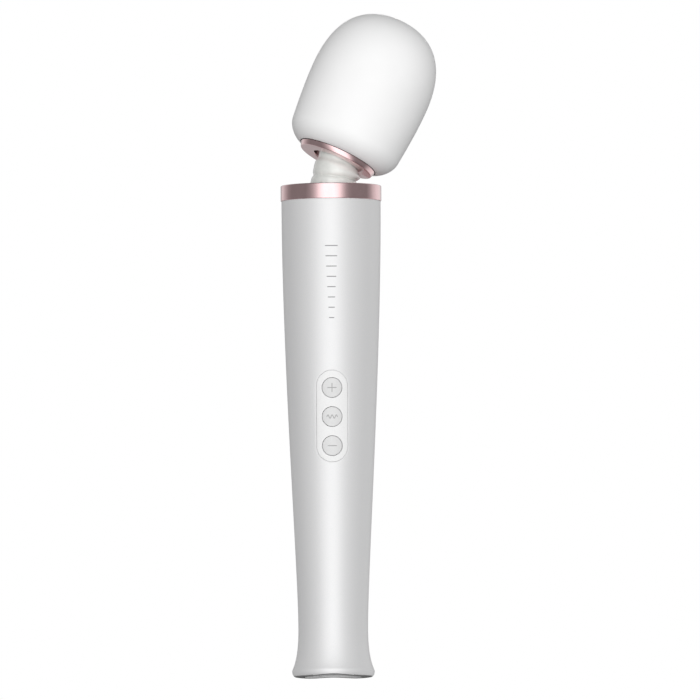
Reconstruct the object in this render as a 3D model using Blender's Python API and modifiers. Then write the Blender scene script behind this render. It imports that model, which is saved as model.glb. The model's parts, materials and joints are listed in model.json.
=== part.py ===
"""Handheld wand massager: a tapered handle that holds a motor and two battery cells, a rubber neck that
bends, and a soft head with an eccentric weight inside. Sizes are in metres. The handle stands on its
foot at Z = 0 with its axis along Z, its buttons face -Y, and its head leans towards +X and a little
towards +Y."""

import math

import bmesh
import bpy
from mathutils import Matrix, Vector
from mathutils.geometry import interpolate_bezier

# Clearances and mesh settings
GAP = 0.0003  # between pieces that touch
MERGE = 0.00001
LARGE, MEDIUM, SMALL = 32, 20, 10  # sides of a round piece

# Handle, whose radii are those of its cells and of what goes round them
CELL_RADIUS = 0.0092
HANDLE_TOP = 0.2380
HANDLE_TOP_RADIUS = CELL_RADIUS + 0.0156
WAIST_HEIGHT = 0.0240
WAIST_RADIUS = CELL_RADIUS + 0.0082
FLARE_HEIGHT = 0.0033
FLARE_RADIUS = WAIST_RADIUS + 0.0032
FOOT_RADIUS = FLARE_RADIUS - 0.0020  # edge of the flat that stands on the table
HANDLE_WALL = 0.0022
FLOOR_THICKNESS = 0.0033
FLOOR_OPENING = 0.0140
ARCH_WIDTH = 0.0235  # through the foot from front to back, at half its height
ARCH_HEIGHT = 0.0015
ARCH_EASE = 0.0040  # run of each rounded end of the arch

# Control panel and buttons
PANEL_CENTRE = 0.1294
PANEL_HEIGHT = 0.0458
PANEL_WIDTH = 0.0156
PANEL_DEPTH = 0.0033
PANEL_LIP = 0.0014  # how far the lip reaches behind the shell
PANEL_LIP_THICKNESS = 0.0006
BUTTON_CENTRE = 0.1291
BUTTON_PITCH = 0.0145
BUTTON_RADIUS = 0.00505
BUTTON_TRAVEL = 0.0006
BUTTON_FLANGE = 0.0011  # how far the flange reaches behind the panel
BUTTON_FLANGE_THICKNESS = 0.0007
STEM_RADIUS = 0.0016

# Battery, control board and what is on it
CELL_LENGTH = 0.0650
CELL_GAP = 0.0020
CELL_BASE = 0.0200
BOARD_WIDTH = 0.0150
BOARD_LENGTH = 0.0600
BOARD_THICKNESS = 0.0010
BOARD_CLEARANCE = 0.0023  # between a cell and the board
SWITCH_SIDE = 0.0040
SWITCH_HEIGHT = 0.0015
LEAD_RADIUS = 0.0006

# Chassis
CHASSIS_WALL = 0.0018
CHASSIS_FRONT = -0.0030  # the chassis is open in front of this plane
CELL_CLEARANCE = 0.0005
DIVIDER = 0.0030

# Motor, its cushions and its shaft
MOTOR_RADIUS = 0.01385
MOTOR_LENGTH = 0.0380
MOTOR_WALL = 0.0010
MOTOR_BELOW_TOP = 0.0160  # from the top of the handle down to the motor
CUSHION_RADIUS = 0.0175
CUSHION_LENGTH = 0.0060
MAGNET_THICKNESS = 0.0023
MAGNET_LENGTH = 0.0240
SHAFT_RADIUS = 0.00115
HUB_RADIUS = 0.0043
SPIGOT_RADIUS = 0.0023
COIL_RADIUS = 0.0034
COIL_WIRE = 0.0007
COIL_TURNS = 7

# Foot
JACK_RADIUS = 0.0040
JACK_BORE = 0.0029
JACK_PIN = 0.0010
JACK_DEPTH = 0.0120
JACK_OFFSET = 0.0070
CAP_FLANGE = 0.0015
FOOT_SCREW_OFFSET = 0.0090

# Screws
SCREW_SHANK = 0.0010
SCREW_HEAD = 0.0017
SCREW_HEAD_HEIGHT = 0.0012
SCREW_LENGTH = 0.0080
BOARD_SCREW_LENGTH = 0.0045

# Collar and neck
COLLAR_HEIGHT = 0.0077
COLLAR_STEP = 0.0004  # how far the collar stands out from the handle
COLLAR_WALL = 0.0015
COLLAR_PLATE = 0.0020
COLLAR_BORE = 0.0131
COLLAR_EDGE = 0.0012
PIVOT_ABOVE_COLLAR = 0.0070
TILT = math.radians(24.7)  # towards +X
NOD = math.radians(8.0)  # towards +Y
BEND_REACH = 0.0090  # the neck bends within this distance of the pivot
BOOT_WALL = 0.0020
BOOT_FLANGE = 0.0146
BOOT_FLANGE_THICKNESS = 0.0020
NECK_RING_RADIUS = 0.0066
NECK_RING_WALL = 0.0014

# Head, as distances from the pivot along the head's own axis
RING_BASE = 0.0059
RING_HEIGHT = 0.0027
RING_RADIUS = 0.0202
RING_BORE = 0.0130
RING_EDGE = 0.0009
SHOULDER_HEIGHT = 0.0175
SHOULDER_RADIUS = 0.0288
HEAD_WIDEST = 0.0475
HEAD_RADIUS = 0.0308
HEAD_TOP = 0.0844
COVER_WALL = 0.0026
CORE_WALL = 0.0020
CORE_SPLIT = 0.0460
CLAMP_RADIUS = 0.0184
CLAMP_THICKNESS = 0.0018
CORE_SCREW_CIRCLE = 0.0166
BEARING_RADIUS = 0.0065
BEARING_WIDTH = 0.0050
WEIGHT_SHAFT_RADIUS = 0.0020
LOWER_BEARING = 0.0215
UPPER_BEARING = 0.0530
WEIGHT_RADIUS = 0.0170
WEIGHT_BASE = 0.0300
WEIGHT_HEIGHT = 0.0200

# Places that follow from the sizes above
COLLAR_BASE = HANDLE_TOP + GAP
COLLAR_RADIUS = HANDLE_TOP_RADIUS + COLLAR_STEP
COLLAR_TOP = COLLAR_BASE + COLLAR_HEIGHT
PIVOT = Vector((0, 0, COLLAR_TOP + PIVOT_ABOVE_COLLAR))
HEAD_TURN = Matrix.Rotation(TILT, 4, "Y") @ Matrix.Rotation(-NOD, 4, "X")
HEAD_AXIS = (HEAD_TURN @ Vector((0, 0, 1))).normalized()
LEAN = HEAD_AXIS.angle(Vector((0, 0, 1)))
LEAN_WAY = Vector((HEAD_AXIS.x, HEAD_AXIS.y, 0)).normalized()
BOARD_BACK = -CELL_RADIUS - BOARD_CLEARANCE
BOARD_FRONT = BOARD_BACK - BOARD_THICKNESS
SWITCH_FRONT = BOARD_FRONT - GAP - SWITCH_HEIGHT
MOTOR_TOP = HANDLE_TOP - MOTOR_BELOW_TOP
MOTOR_BASE = MOTOR_TOP - MOTOR_LENGTH
RING_TOP = RING_BASE + RING_HEIGHT
CLAMP_BASE = RING_TOP + GAP + BOOT_FLANGE_THICKNESS + GAP
SCREW_HOLE = SCREW_SHANK + GAP


# Collections, materials and empties


def collection(name):
    made = bpy.data.collections.new(name)
    bpy.context.scene.collection.children.link(made)
    return made


def finish(name, colour, roughness, metallic=0.0):
    material = bpy.data.materials.new(name)
    material.use_nodes = True
    shader = material.node_tree.nodes["Principled BSDF"]
    shader.inputs["Base Color"].default_value = (*colour, 1)
    shader.inputs["Roughness"].default_value = roughness
    shader.inputs["Metallic"].default_value = metallic
    return material


def empty(name, matrix):
    made = bpy.data.objects.new(name, None)
    made.matrix_world = matrix
    PARTS.objects.link(made)
    return made


for old in list(bpy.data.objects):
    bpy.data.objects.remove(old, do_unlink=True)

PARTS = collection("wand_massager")
TOOLS = collection("cutters")
TOOLS.hide_render = True

PEARL = finish("pearl_abs", (0.83, 0.83, 0.82), 0.28)
PANEL_WHITE = finish("panel_abs", (0.78, 0.78, 0.78), 0.35)
BUTTON_WHITE = finish("button_abs", (0.70, 0.70, 0.70), 0.40)
ROSE_GOLD = finish("rose_gold_plating", (0.76, 0.55, 0.53), 0.18, 1.0)
NECK_RUBBER = finish("neck_rubber", (0.66, 0.68, 0.66), 0.55)
SILICONE = finish("head_silicone", (0.90, 0.90, 0.90), 0.60)
INNER_ABS = finish("inner_abs", (0.25, 0.26, 0.28), 0.60)
STEEL = finish("machined_steel", (0.60, 0.60, 0.62), 0.30, 1.0)
CAST_STEEL = finish("cast_steel", (0.35, 0.35, 0.37), 0.50, 1.0)
COPPER = finish("wound_copper", (0.72, 0.38, 0.20), 0.40, 1.0)
FERRITE = finish("ferrite", (0.10, 0.10, 0.11), 0.60)
CELL_SLEEVE = finish("cell_sleeve", (0.10, 0.32, 0.30), 0.45)
BOARD_GREEN = finish("board_laminate", (0.03, 0.22, 0.10), 0.50)
CHIP_BLACK = finish("chip_epoxy", (0.02, 0.02, 0.02), 0.50)
GREY_RUBBER = finish("cushion_rubber", (0.20, 0.20, 0.21), 0.80)
RED_LEAD = finish("red_lead", (0.60, 0.03, 0.02), 0.50)
BLACK_LEAD = finish("black_lead", (0.03, 0.03, 0.03), 0.50)

HEAD = empty("head_pivot", Matrix.Translation(PIVOT) @ HEAD_TURN)


# Shapes


def bezier(start, leave, arrive, end, steps):
    """Points (radius, height) on a cubic curve, both ends included."""
    corners = [Vector((*corner, 0)) for corner in (start, leave, arrive, end)]
    return [(point.x, point.y) for point in interpolate_bezier(*corners, steps + 1)]


def arc(centre, radius, first, last, steps):
    """Points on an arc between two angles in degrees, both ends included."""
    angles = [math.radians(first + (last - first) * i / steps) for i in range(steps + 1)]
    return [(centre[0] + radius * math.cos(a), centre[1] + radius * math.sin(a)) for a in angles]


def smooth(points, steps):
    """A curve through all the points, with a number of steps between each two."""
    vectors = [Vector(point) for point in points]
    padded = [2 * vectors[0] - vectors[1], *vectors, 2 * vectors[-1] - vectors[-2]]
    found = []
    for before, start, end, after in zip(padded, padded[1:], padded[2:], padded[3:]):
        longest = (end - start).length / 3
        leave = start + (end - before).normalized() * min((end - before).length / 6, longest)
        arrive = end - (after - start).normalized() * min((after - start).length / 6, longest)
        for i in range(steps):
            t = i / steps
            s = 1 - t
            found.append(s**3 * start + 3 * s * s * t * leave + 3 * s * t * t * arrive + t**3 * end)
    return [tuple(point) for point in [*found, vectors[-1]]]


def inset(outline, depth):
    """An outline that runs upwards, moved inwards square to itself."""
    moved = []
    for i, (radius, height) in enumerate(outline):
        before = outline[max(i - 1, 0)]
        after = outline[min(i + 1, len(outline) - 1)]
        along = Vector((after[0] - before[0], after[1] - before[1])).normalized()
        moved.append((max(radius - depth * along.y, 0), height + depth * along.x))
    return moved


def radius_at(outline, height):
    """Radius of an outline, which runs upwards, at a height."""
    for (r0, z0), (r1, z1) in zip(outline, outline[1:]):
        if z0 <= height <= z1 and z1 > z0:
            return r0 + (r1 - r0) * (height - z0) / (z1 - z0)
    return outline[0][0] if height < outline[0][1] else outline[-1][0]


def between(outline, low, high):
    """The stretch of an outline, which runs upwards, between two heights."""
    inside = [point for point in outline if low + MERGE < point[1] < high - MERGE]
    return [(radius_at(outline, low), low), *inside, (radius_at(outline, high), high)]


def racetrack(width, height, steps=8):
    """Outline with half-round ends, taller than it is wide."""
    straight = (height - width) / 2
    upper = arc((0, straight), width / 2, 0, 180, steps)
    lower = arc((0, -straight), width / 2, 180, 360, steps)
    return upper + lower


# Objects


def place(name, data, material, parent=None):
    made = bpy.data.objects.new(name, data)
    if material:
        data.materials.clear()
        data.materials.append(material)
    made.parent = parent
    PARTS.objects.link(made)
    return made


def turned(name, outline, material=None, sides=MEDIUM, parent=None):
    """A solid turned about Z. The outline starts and ends on the axis, or is a loop beside it."""
    closed = outline[0][0] > MERGE
    loop = outline if closed else [*outline, (0, outline[0][1])]
    area = sum(a[0] * b[1] - b[0] * a[1] for a, b in zip(loop, [*loop[1:], loop[0]]))
    points = outline[::-1] if area > 0 else outline
    mesh = bpy.data.meshes.new(name)
    edges = [(i, i + 1) for i in range(len(points) - 1)]
    if closed:
        edges.append((len(points) - 1, 0))
    mesh.from_pydata([(radius, 0, height) for radius, height in points], edges, [])
    made = place(name, mesh, material, parent)
    screw = made.modifiers.new("Turn", "SCREW")
    screw.steps = screw.render_steps = sides
    screw.use_smooth_shade = True
    screw.use_merge_vertices = True
    screw.merge_threshold = MERGE
    return made


def frozen(made):
    """The object with its modifiers applied to its own mesh."""
    graph = bpy.context.evaluated_depsgraph_get()
    mesh = bpy.data.meshes.new_from_object(made.evaluated_get(graph))
    made.modifiers.clear()
    made.data = mesh
    return made


def block(name, low, high, material=None, parent=None, bevel=0.0):
    mesh = bpy.data.meshes.new(name)
    shape = bmesh.new()
    bmesh.ops.create_cube(shape, size=1)
    middle = (Vector(low) + Vector(high)) / 2
    size = Vector(high) - Vector(low)
    stretch = Matrix.Translation(middle) @ Matrix.Diagonal((*size, 1))
    bmesh.ops.transform(shape, matrix=stretch, verts=shape.verts)
    shape.to_mesh(mesh)
    shape.free()
    made = place(name, mesh, material, parent)
    if bevel:
        made.modifiers.new("Edges", "BEVEL").width = bevel
    return made


def rod(name, radius, start, end, material=None, sides=SMALL, parent=None):
    """A straight cylinder between two points."""
    start, end = Vector(start), Vector(end)
    mesh = bpy.data.meshes.new(name)
    shape = bmesh.new()
    length = (end - start).length
    bmesh.ops.create_cone(
        shape, cap_ends=True, segments=sides, radius1=radius, radius2=radius, depth=length
    )
    shape.to_mesh(mesh)
    shape.free()
    mesh.shade_smooth()
    mesh.set_sharp_from_angle(angle=math.radians(40))
    made = place(name, mesh, material, parent)
    made.location = (start + end) / 2
    made.rotation_euler = (end - start).to_track_quat("Z", "Y").to_euler()
    return made


def prism(name, outline, centre, low, high):
    """A flat outline of (x, z) points about a centre, pulled along Y between two planes, as a mesh."""
    curve = bpy.data.curves.new(name, "CURVE")
    curve.dimensions = "2D"
    curve.fill_mode = "BOTH"
    curve.extrude = (high - low) / 2
    spline = curve.splines.new("POLY")
    spline.points.add(len(outline) - 1)
    for point, (x, z) in zip(spline.points, outline):
        point.co = (x, z, 0, 1)
    spline.use_cyclic_u = True
    drawn = bpy.data.objects.new(name + "_outline", curve)
    drawn.rotation_euler.x = math.radians(90)
    drawn.location = (centre[0], (low + high) / 2, centre[1])
    PARTS.objects.link(drawn)
    bpy.context.view_layer.update()
    graph = bpy.context.evaluated_depsgraph_get()
    mesh = bpy.data.meshes.new_from_object(drawn.evaluated_get(graph))
    shape = bmesh.new()
    shape.from_mesh(mesh)
    bmesh.ops.remove_doubles(shape, verts=shape.verts, dist=MERGE)
    bmesh.ops.recalc_face_normals(shape, faces=shape.faces)
    shape.to_mesh(mesh)
    shape.free()
    made = place(name, mesh, None)
    made.matrix_world = drawn.matrix_world
    bpy.data.objects.remove(drawn)
    return made


def tube(name, points, radius, material):
    """A round wire along points."""
    curve = bpy.data.curves.new(name, "CURVE")
    curve.dimensions = "3D"
    curve.bevel_depth = radius
    curve.bevel_resolution = 1
    curve.use_fill_caps = True
    spline = curve.splines.new("POLY")
    spline.points.add(len(points) - 1)
    for point, place_in_space in zip(spline.points, points):
        point.co = (*place_in_space, 1)
    return place(name, curve, material)


def shaped(made, tool, operation):
    """Cuts, adds or keeps what is shared with a tool, which is then hidden."""
    for owner in list(tool.users_collection):
        owner.objects.unlink(tool)
    TOOLS.objects.link(tool)
    tool.hide_render = True
    tool.display_type = "WIRE"
    modifier = made.modifiers.new(tool.name, "BOOLEAN")
    modifier.operation = operation
    modifier.solver = "EXACT"
    modifier.object = tool
    return made


def cut(made, *tools):
    for tool in tools:
        shaped(made, tool, "DIFFERENCE")
    return made


def add(made, *tools):
    for tool in tools:
        shaped(made, tool, "UNION")
    return made


def keep(made, *tools):
    for tool in tools:
        shaped(made, tool, "INTERSECT")
    return made


# Handle shells


def handle_outline():
    """Outside of the handle from the foot up."""
    foot = bezier(
        (FOOT_RADIUS, 0),
        (FLARE_RADIUS - 0.0003, 0),
        (FLARE_RADIUS + 0.0002, FLARE_HEIGHT * 0.72),
        (FLARE_RADIUS, FLARE_HEIGHT),
        4,
    )
    step = FLARE_RADIUS - WAIST_RADIUS
    rise = WAIST_HEIGHT - FLARE_HEIGHT
    flare = bezier(
        (FLARE_RADIUS, FLARE_HEIGHT),
        (FLARE_RADIUS - 0.58 * step, FLARE_HEIGHT + 0.19 * rise),
        (WAIST_RADIUS, FLARE_HEIGHT + 0.49 * rise),
        (WAIST_RADIUS, WAIST_HEIGHT),
        5,
    )
    run = HANDLE_TOP - WAIST_HEIGHT
    body = bezier(
        (WAIST_RADIUS, WAIST_HEIGHT),
        (WAIST_RADIUS, WAIST_HEIGHT + 0.14 * run),
        (HANDLE_TOP_RADIUS, WAIST_HEIGHT + 0.62 * run),
        (HANDLE_TOP_RADIUS, HANDLE_TOP),
        10,
    )
    return foot + flare[1:] + body[1:]


HANDLE = handle_outline()


def handle_radius(height):
    return radius_at(HANDLE, height)


def handle_layer(name, outer_depth, inner_depth, low, high):
    """A turned layer of the handle between two depths under its surface."""
    face = between(HANDLE, low, high)
    outer = [(radius - outer_depth, height) for radius, height in face]
    inner = [(radius - inner_depth, height) for radius, height in face]
    return turned(name, outer + inner[::-1], sides=LARGE)


def handle_shell(name):
    inner = between(HANDLE, FLOOR_THICKNESS, HANDLE_TOP)
    inner = inner[:1] + inner[2:-1:3] + inner[-1:]
    wall = [(radius - HANDLE_WALL, height) for radius, height in inner]
    floor = [(FLOOR_OPENING, FLOOR_THICKNESS), (FLOOR_OPENING, 0)]
    return turned(name, HANDLE + wall[::-1] + floor, PEARL, LARGE)


def arch_cutter(name):
    """The arch through the foot, flat on top, with an ease at each end."""
    steps = 6
    half = ARCH_WIDTH / 2
    rise = [
        (half + ARCH_EASE * (0.5 - i / steps), ARCH_HEIGHT * (1 - math.cos(math.pi * i / steps)) / 2)
        for i in range(steps + 1)
    ]
    below = -HANDLE_WALL
    side = [(rise[0][0], below), *rise]
    outline = side + [(-x, z) for x, z in reversed(side)]
    return prism(name, outline, (0, 0), -2 * FLARE_RADIUS, 2 * FLARE_RADIUS)


def half_space(name, low_y, high_y):
    reach = 2 * HEAD_RADIUS
    top = HANDLE_TOP + reach
    return block(name, (-reach, low_y, -reach), (reach, high_y, top))


def board_boss(name, height):
    """A post inside the front shell that the control board is screwed to."""
    wall = handle_radius(height) - HANDLE_WALL / 2
    return rod(name, BOSS_RADIUS, (0, -wall, height), (0, BOARD_FRONT - GAP, height))


BOARD_BASE = PANEL_CENTRE - BOARD_LENGTH / 2
BOARD_TOP = PANEL_CENTRE + BOARD_LENGTH / 2
BOARD_SCREWS = (BOARD_BASE + 0.0025, BOARD_TOP - 0.0025)
BOSS_RADIUS = SCREW_HOLE + 0.0010


def make_shells():
    reach = 2 * HEAD_RADIUS
    rear = handle_shell("handle_rear_shell")
    keep(rear, half_space("rear_half", GAP / 2, reach))
    cut(rear, arch_cutter("rear_arch"))
    front = handle_shell("handle_front_shell")
    keep(front, half_space("front_half", -reach, -GAP / 2))
    opening = racetrack(PANEL_WIDTH + 2 * GAP, PANEL_HEIGHT + 2 * GAP)
    cut(front, arch_cutter("front_arch"))
    cut(front, prism("panel_opening", opening, (0, PANEL_CENTRE), -reach, 0))
    for i, height in enumerate(BOARD_SCREWS):
        add(front, board_boss(f"board_boss_{i}", height))
    for i, height in enumerate(BOARD_SCREWS):
        bottom = BOARD_BACK + GAP - BOARD_SCREW_LENGTH - 2 * GAP
        start, end = (0, bottom, height), (0, BOARD_BACK, height)
        cut(front, rod(f"board_boss_hole_{i}", SCREW_HOLE, start, end))


# Control panel, buttons and board


def button_heights():
    return {
        "plus": BUTTON_CENTRE + BUTTON_PITCH,
        "mode": BUTTON_CENTRE,
        "minus": BUTTON_CENTRE - BUTTON_PITCH,
    }


def make_panel():
    low, high = PANEL_CENTRE - PANEL_HEIGHT, PANEL_CENTRE + PANEL_HEIGHT
    reach = 2 * HEAD_RADIUS
    lip_top = HANDLE_WALL + GAP
    panel = handle_layer("control_panel", 0, PANEL_DEPTH, low, high)
    panel.data.materials.append(PANEL_WHITE)
    outline = racetrack(PANEL_WIDTH, PANEL_HEIGHT)
    keep(panel, prism("panel_face", outline, (0, PANEL_CENTRE), -reach, 0))
    lip = handle_layer("panel_lip", lip_top, lip_top + PANEL_LIP_THICKNESS, low, high)
    outline = racetrack(PANEL_WIDTH + 2 * PANEL_LIP, PANEL_HEIGHT + 2 * PANEL_LIP)
    keep(lip, prism("panel_lip_face", outline, (0, PANEL_CENTRE), -reach, 0))
    add(panel, lip)
    for name, height in button_heights().items():
        start, end = (0, -reach, height), (0, 0, height)
        cut(panel, rod(f"{name}_hole", BUTTON_RADIUS + GAP, start, end, sides=MEDIUM))


def flat_behind(height, depth, half_width):
    """The Y of the nearest flat plane that clears the handle's curved inside, over a width."""
    radius = handle_radius(height - half_width) - depth
    return -math.sqrt(radius**2 - half_width**2) + GAP


def make_buttons():
    envelope = turned("button_envelope", [(0, 0), *HANDLE, (0, HANDLE_TOP)], sides=LARGE)
    flange_radius = BUTTON_RADIUS + BUTTON_FLANGE
    for name, height in button_heights().items():
        flange_front = flat_behind(height, PANEL_DEPTH, flange_radius)
        flange_back = flange_front + BUTTON_FLANGE_THICKNESS
        stem_end = SWITCH_FRONT - GAP - BUTTON_TRAVEL
        start = (0, -2 * HANDLE_TOP_RADIUS, height)
        front, back, end = [(0, y, height) for y in (flange_front, flange_back, stem_end)]
        button = rod(f"button_{name}", BUTTON_RADIUS, start, back, BUTTON_WHITE, MEDIUM)
        keep(button, envelope)
        flange = rod(f"{name}_flange", flange_radius, front, back, sides=MEDIUM)
        stem = rod(f"{name}_stem", STEM_RADIUS, front, end)
        add(button, flange, stem)
        half = SWITCH_SIDE / 2
        low = (-half, SWITCH_FRONT, height - half)
        high = (half, BOARD_FRONT - GAP, height + half)
        block(f"switch_{name}", low, high, CHIP_BLACK, bevel=0.0002)


def make_board():
    half = BOARD_WIDTH / 2
    low, high = (-half, BOARD_FRONT, BOARD_BASE), (half, BOARD_BACK, BOARD_TOP)
    board = block("control_board", low, high, BOARD_GREEN)
    for i, height in enumerate(BOARD_SCREWS):
        start, end = (0, BOARD_FRONT - 0.001, height), (0, BOARD_BACK + 0.001, height)
        cut(board, rod(f"board_hole_{i}", SCREW_HOLE, start, end))
    # each chip fills the space between a screw's boss and the nearest button's flange
    clear = 0.0004
    flange = BUTTON_RADIUS + BUTTON_FLANGE
    heights = button_heights()
    spans = {
        "control_chip": (BOARD_SCREWS[0] + BOSS_RADIUS, heights["minus"] - flange, 0.0030),
        "charge_chip": (heights["plus"] + flange, BOARD_SCREWS[1] - BOSS_RADIUS, 0.0022),
    }
    chip_back = BOARD_FRONT - GAP
    for name, (bottom, top, half) in spans.items():
        low = (-half, chip_back - 0.0010, bottom + clear)
        high = (half, chip_back, top - clear)
        block(name, low, high, CHIP_BLACK, bevel=0.0002)


# Screws


def screw_mesh(length):
    """A socket-head screw, its head above Z = 0 and its shank below."""
    outline = [
        (0, SCREW_HEAD_HEIGHT),
        (SCREW_HEAD, SCREW_HEAD_HEIGHT),
        (SCREW_HEAD, 0),
        (SCREW_SHANK, 0),
        (SCREW_SHANK, -length + SCREW_SHANK),
        (0, -length),
    ]
    pattern = turned("screw_pattern", outline, STEEL, SMALL)
    start, end = (0, 0, SCREW_HEAD_HEIGHT / 3), (0, 0, 2 * SCREW_HEAD_HEIGHT)
    socket = rod("screw_socket", SCREW_SHANK * 0.9, start, end, sides=6)
    cut(pattern, socket)
    bpy.context.view_layer.update()
    mesh = frozen(pattern).data
    bpy.data.objects.remove(pattern)
    bpy.data.objects.remove(socket)
    return mesh


def screw(name, mesh, seat, pointing, parent=None):
    """A screw whose head rests on the seat and whose shank points one way."""
    made = bpy.data.objects.new(name, mesh)
    made.parent = parent
    made.location = seat
    made.rotation_euler = (-Vector(pointing)).to_track_quat("Z", "Y").to_euler()
    PARTS.objects.link(made)
    return made


SCREW = screw_mesh(SCREW_LENGTH)


def make_board_screws():
    mesh = screw_mesh(BOARD_SCREW_LENGTH)
    for name, height in zip(("lower", "upper"), BOARD_SCREWS):
        screw(f"board_screw_{name}", mesh, (0, BOARD_BACK + GAP, height), (0, -1, 0))


# Foot


CAP_SEAT = FLOOR_THICKNESS + GAP
CAP_TOP = CAP_SEAT + CAP_FLANGE
FOOT_SCREW_SEAT = ARCH_HEIGHT + SCREW_HEAD_HEIGHT + GAP
LEG_BASE = CAP_TOP + GAP


def make_foot():
    flange = handle_radius(CAP_TOP) - HANDLE_WALL - 2 * GAP
    plug = FLOOR_OPENING - GAP
    outline = [
        (0, ARCH_HEIGHT),
        (plug, ARCH_HEIGHT),
        (plug, CAP_SEAT),
        (flange, CAP_SEAT),
        (flange, CAP_TOP),
        (0, CAP_TOP),
    ]
    cap = turned("base_cap", outline, PEARL, LARGE)
    cut(cap, rod("jack_hole", JACK_RADIUS + GAP, (0, JACK_OFFSET, 0), (0, JACK_OFFSET, 2 * CAP_TOP)))
    for side, name in ((-1, "left"), (1, "right")):
        x = side * FOOT_SCREW_OFFSET
        cut(cap, rod(f"foot_screw_hole_{name}", SCREW_HOLE, (x, 0, 0), (x, 0, 2 * CAP_TOP)))
        cut(cap, rod(f"foot_screw_recess_{name}", SCREW_HEAD + GAP, (x, 0, 0), (x, 0, FOOT_SCREW_SEAT)))
        screw(f"base_screw_{name}", SCREW, (x, 0, FOOT_SCREW_SEAT - GAP), (0, 0, 1))
    bottom = ARCH_HEIGHT + GAP
    top = bottom + JACK_DEPTH
    floor = top - 0.0020
    outline = [
        (0, bottom + 0.0015),
        (JACK_PIN, bottom + 0.0015),
        (JACK_PIN, floor),
        (JACK_BORE, floor),
        (JACK_BORE, bottom),
        (JACK_RADIUS, bottom),
        (JACK_RADIUS, top),
        (0, top),
    ]
    jack = turned("charge_jack", outline, CHIP_BLACK, SMALL)
    jack.location.y = JACK_OFFSET


# Chassis, battery and motor


CHASSIS_BASE = CELL_BASE - DIVIDER - GAP
CHASSIS_TOP = HANDLE_TOP - 0.0090
BAY_RADIUS = CELL_RADIUS + CELL_CLEARANCE
TROUGH_RADIUS = BAY_RADIUS + CHASSIS_WALL
BAY_TOP = CELL_BASE + 2 * CELL_LENGTH + CELL_GAP + GAP
MOTOR_BAY_RADIUS = CUSHION_RADIUS + GAP
MOTOR_BAY_BASE = MOTOR_BASE - 0.0040
LEDGE_HEIGHT = 0.0020
LOWER_CUSHION = MOTOR_BASE + 0.0040
UPPER_CUSHION = MOTOR_TOP - 0.0020 - CUSHION_LENGTH
POST_OFFSET = 0.0176
POST_RADIUS = 0.0024
PLATE_BASE = HANDLE_TOP + 2 * GAP
PLATE_TOP = PLATE_BASE + 0.0030
POST_TOP = PLATE_BASE - GAP
SPIGOT = 0.0088


def make_chassis():
    outer = MOTOR_BAY_RADIUS + CHASSIS_WALL
    shoulder = MOTOR_BAY_BASE - LEDGE_HEIGHT
    outline = [
        (0, CHASSIS_BASE),
        (TROUGH_RADIUS, CHASSIS_BASE),
        (TROUGH_RADIUS, BAY_TOP + DIVIDER),
        (outer, shoulder),
        (outer, CHASSIS_TOP),
        (0, CHASSIS_TOP),
    ]
    chassis = turned("chassis", outline, INNER_ABS, LARGE)
    cells = [(0, CELL_BASE - GAP), (BAY_RADIUS, CELL_BASE - GAP), (BAY_RADIUS, BAY_TOP), (0, BAY_TOP)]
    motor_room = [
        (0, BAY_TOP + DIVIDER),
        (BAY_RADIUS, BAY_TOP + DIVIDER),
        (MOTOR_RADIUS + 0.0012, shoulder),
        (MOTOR_RADIUS + 0.0012, LOWER_CUSHION - GAP),
        (MOTOR_BAY_RADIUS, LOWER_CUSHION - GAP),
        (MOTOR_BAY_RADIUS, HANDLE_TOP + 0.0010),
        (0, HANDLE_TOP + 0.0010),
    ]
    cut(chassis, turned("cell_bay", cells, sides=MEDIUM))
    cut(chassis, turned("motor_bay", motor_room, sides=LARGE))
    cut(chassis, half_space("chassis_front", -4 * HEAD_RADIUS, CHASSIS_FRONT))
    for side, name in ((-1, "left"), (1, "right")):
        x = side * FOOT_SCREW_OFFSET
        leg_top = CHASSIS_BASE + DIVIDER / 2
        add(chassis, rod(f"leg_{name}", SCREW_HOLE + 0.0012, (x, 0, LEG_BASE), (x, 0, leg_top)))
        hole_end = FOOT_SCREW_SEAT + SCREW_LENGTH + 2 * GAP
        cut(chassis, rod(f"leg_hole_{name}", SCREW_HOLE, (x, 0, 0), (x, 0, hole_end)))
        x = side * POST_OFFSET
        add(chassis, rod(f"post_{name}", POST_RADIUS, (x, 0, CHASSIS_TOP - 0.0030), (x, 0, POST_TOP)))
        hole_end = PLATE_TOP - SCREW_LENGTH - 4 * GAP
        cut(chassis, rod(f"post_hole_{name}", SCREW_HOLE, (x, 0, hole_end), (x, 0, 2 * POST_TOP)))


def make_cells():
    edge = 0.0010
    for i, name in enumerate(("lower", "upper")):
        base = CELL_BASE + i * (CELL_LENGTH + CELL_GAP)
        top = base + CELL_LENGTH
        outline = [
            (0, base),
            (CELL_RADIUS, base),
            (CELL_RADIUS, top - edge),
            (0.0028, top - edge),
            (0.0028, top),
            (0, top),
        ]
        turned(f"battery_cell_{name}", outline, CELL_SLEEVE, MEDIUM)


def loop(inner, outer, low, high, edge=0.0):
    """A ring's section, with its outer edges cut back by a chamfer."""
    if not edge:
        return [(inner, low), (outer, low), (outer, high), (inner, high)]
    return [
        (inner, low),
        (outer - edge, low),
        (outer, low + edge),
        (outer, high - edge),
        (outer - edge, high),
        (inner, high),
    ]


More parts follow.
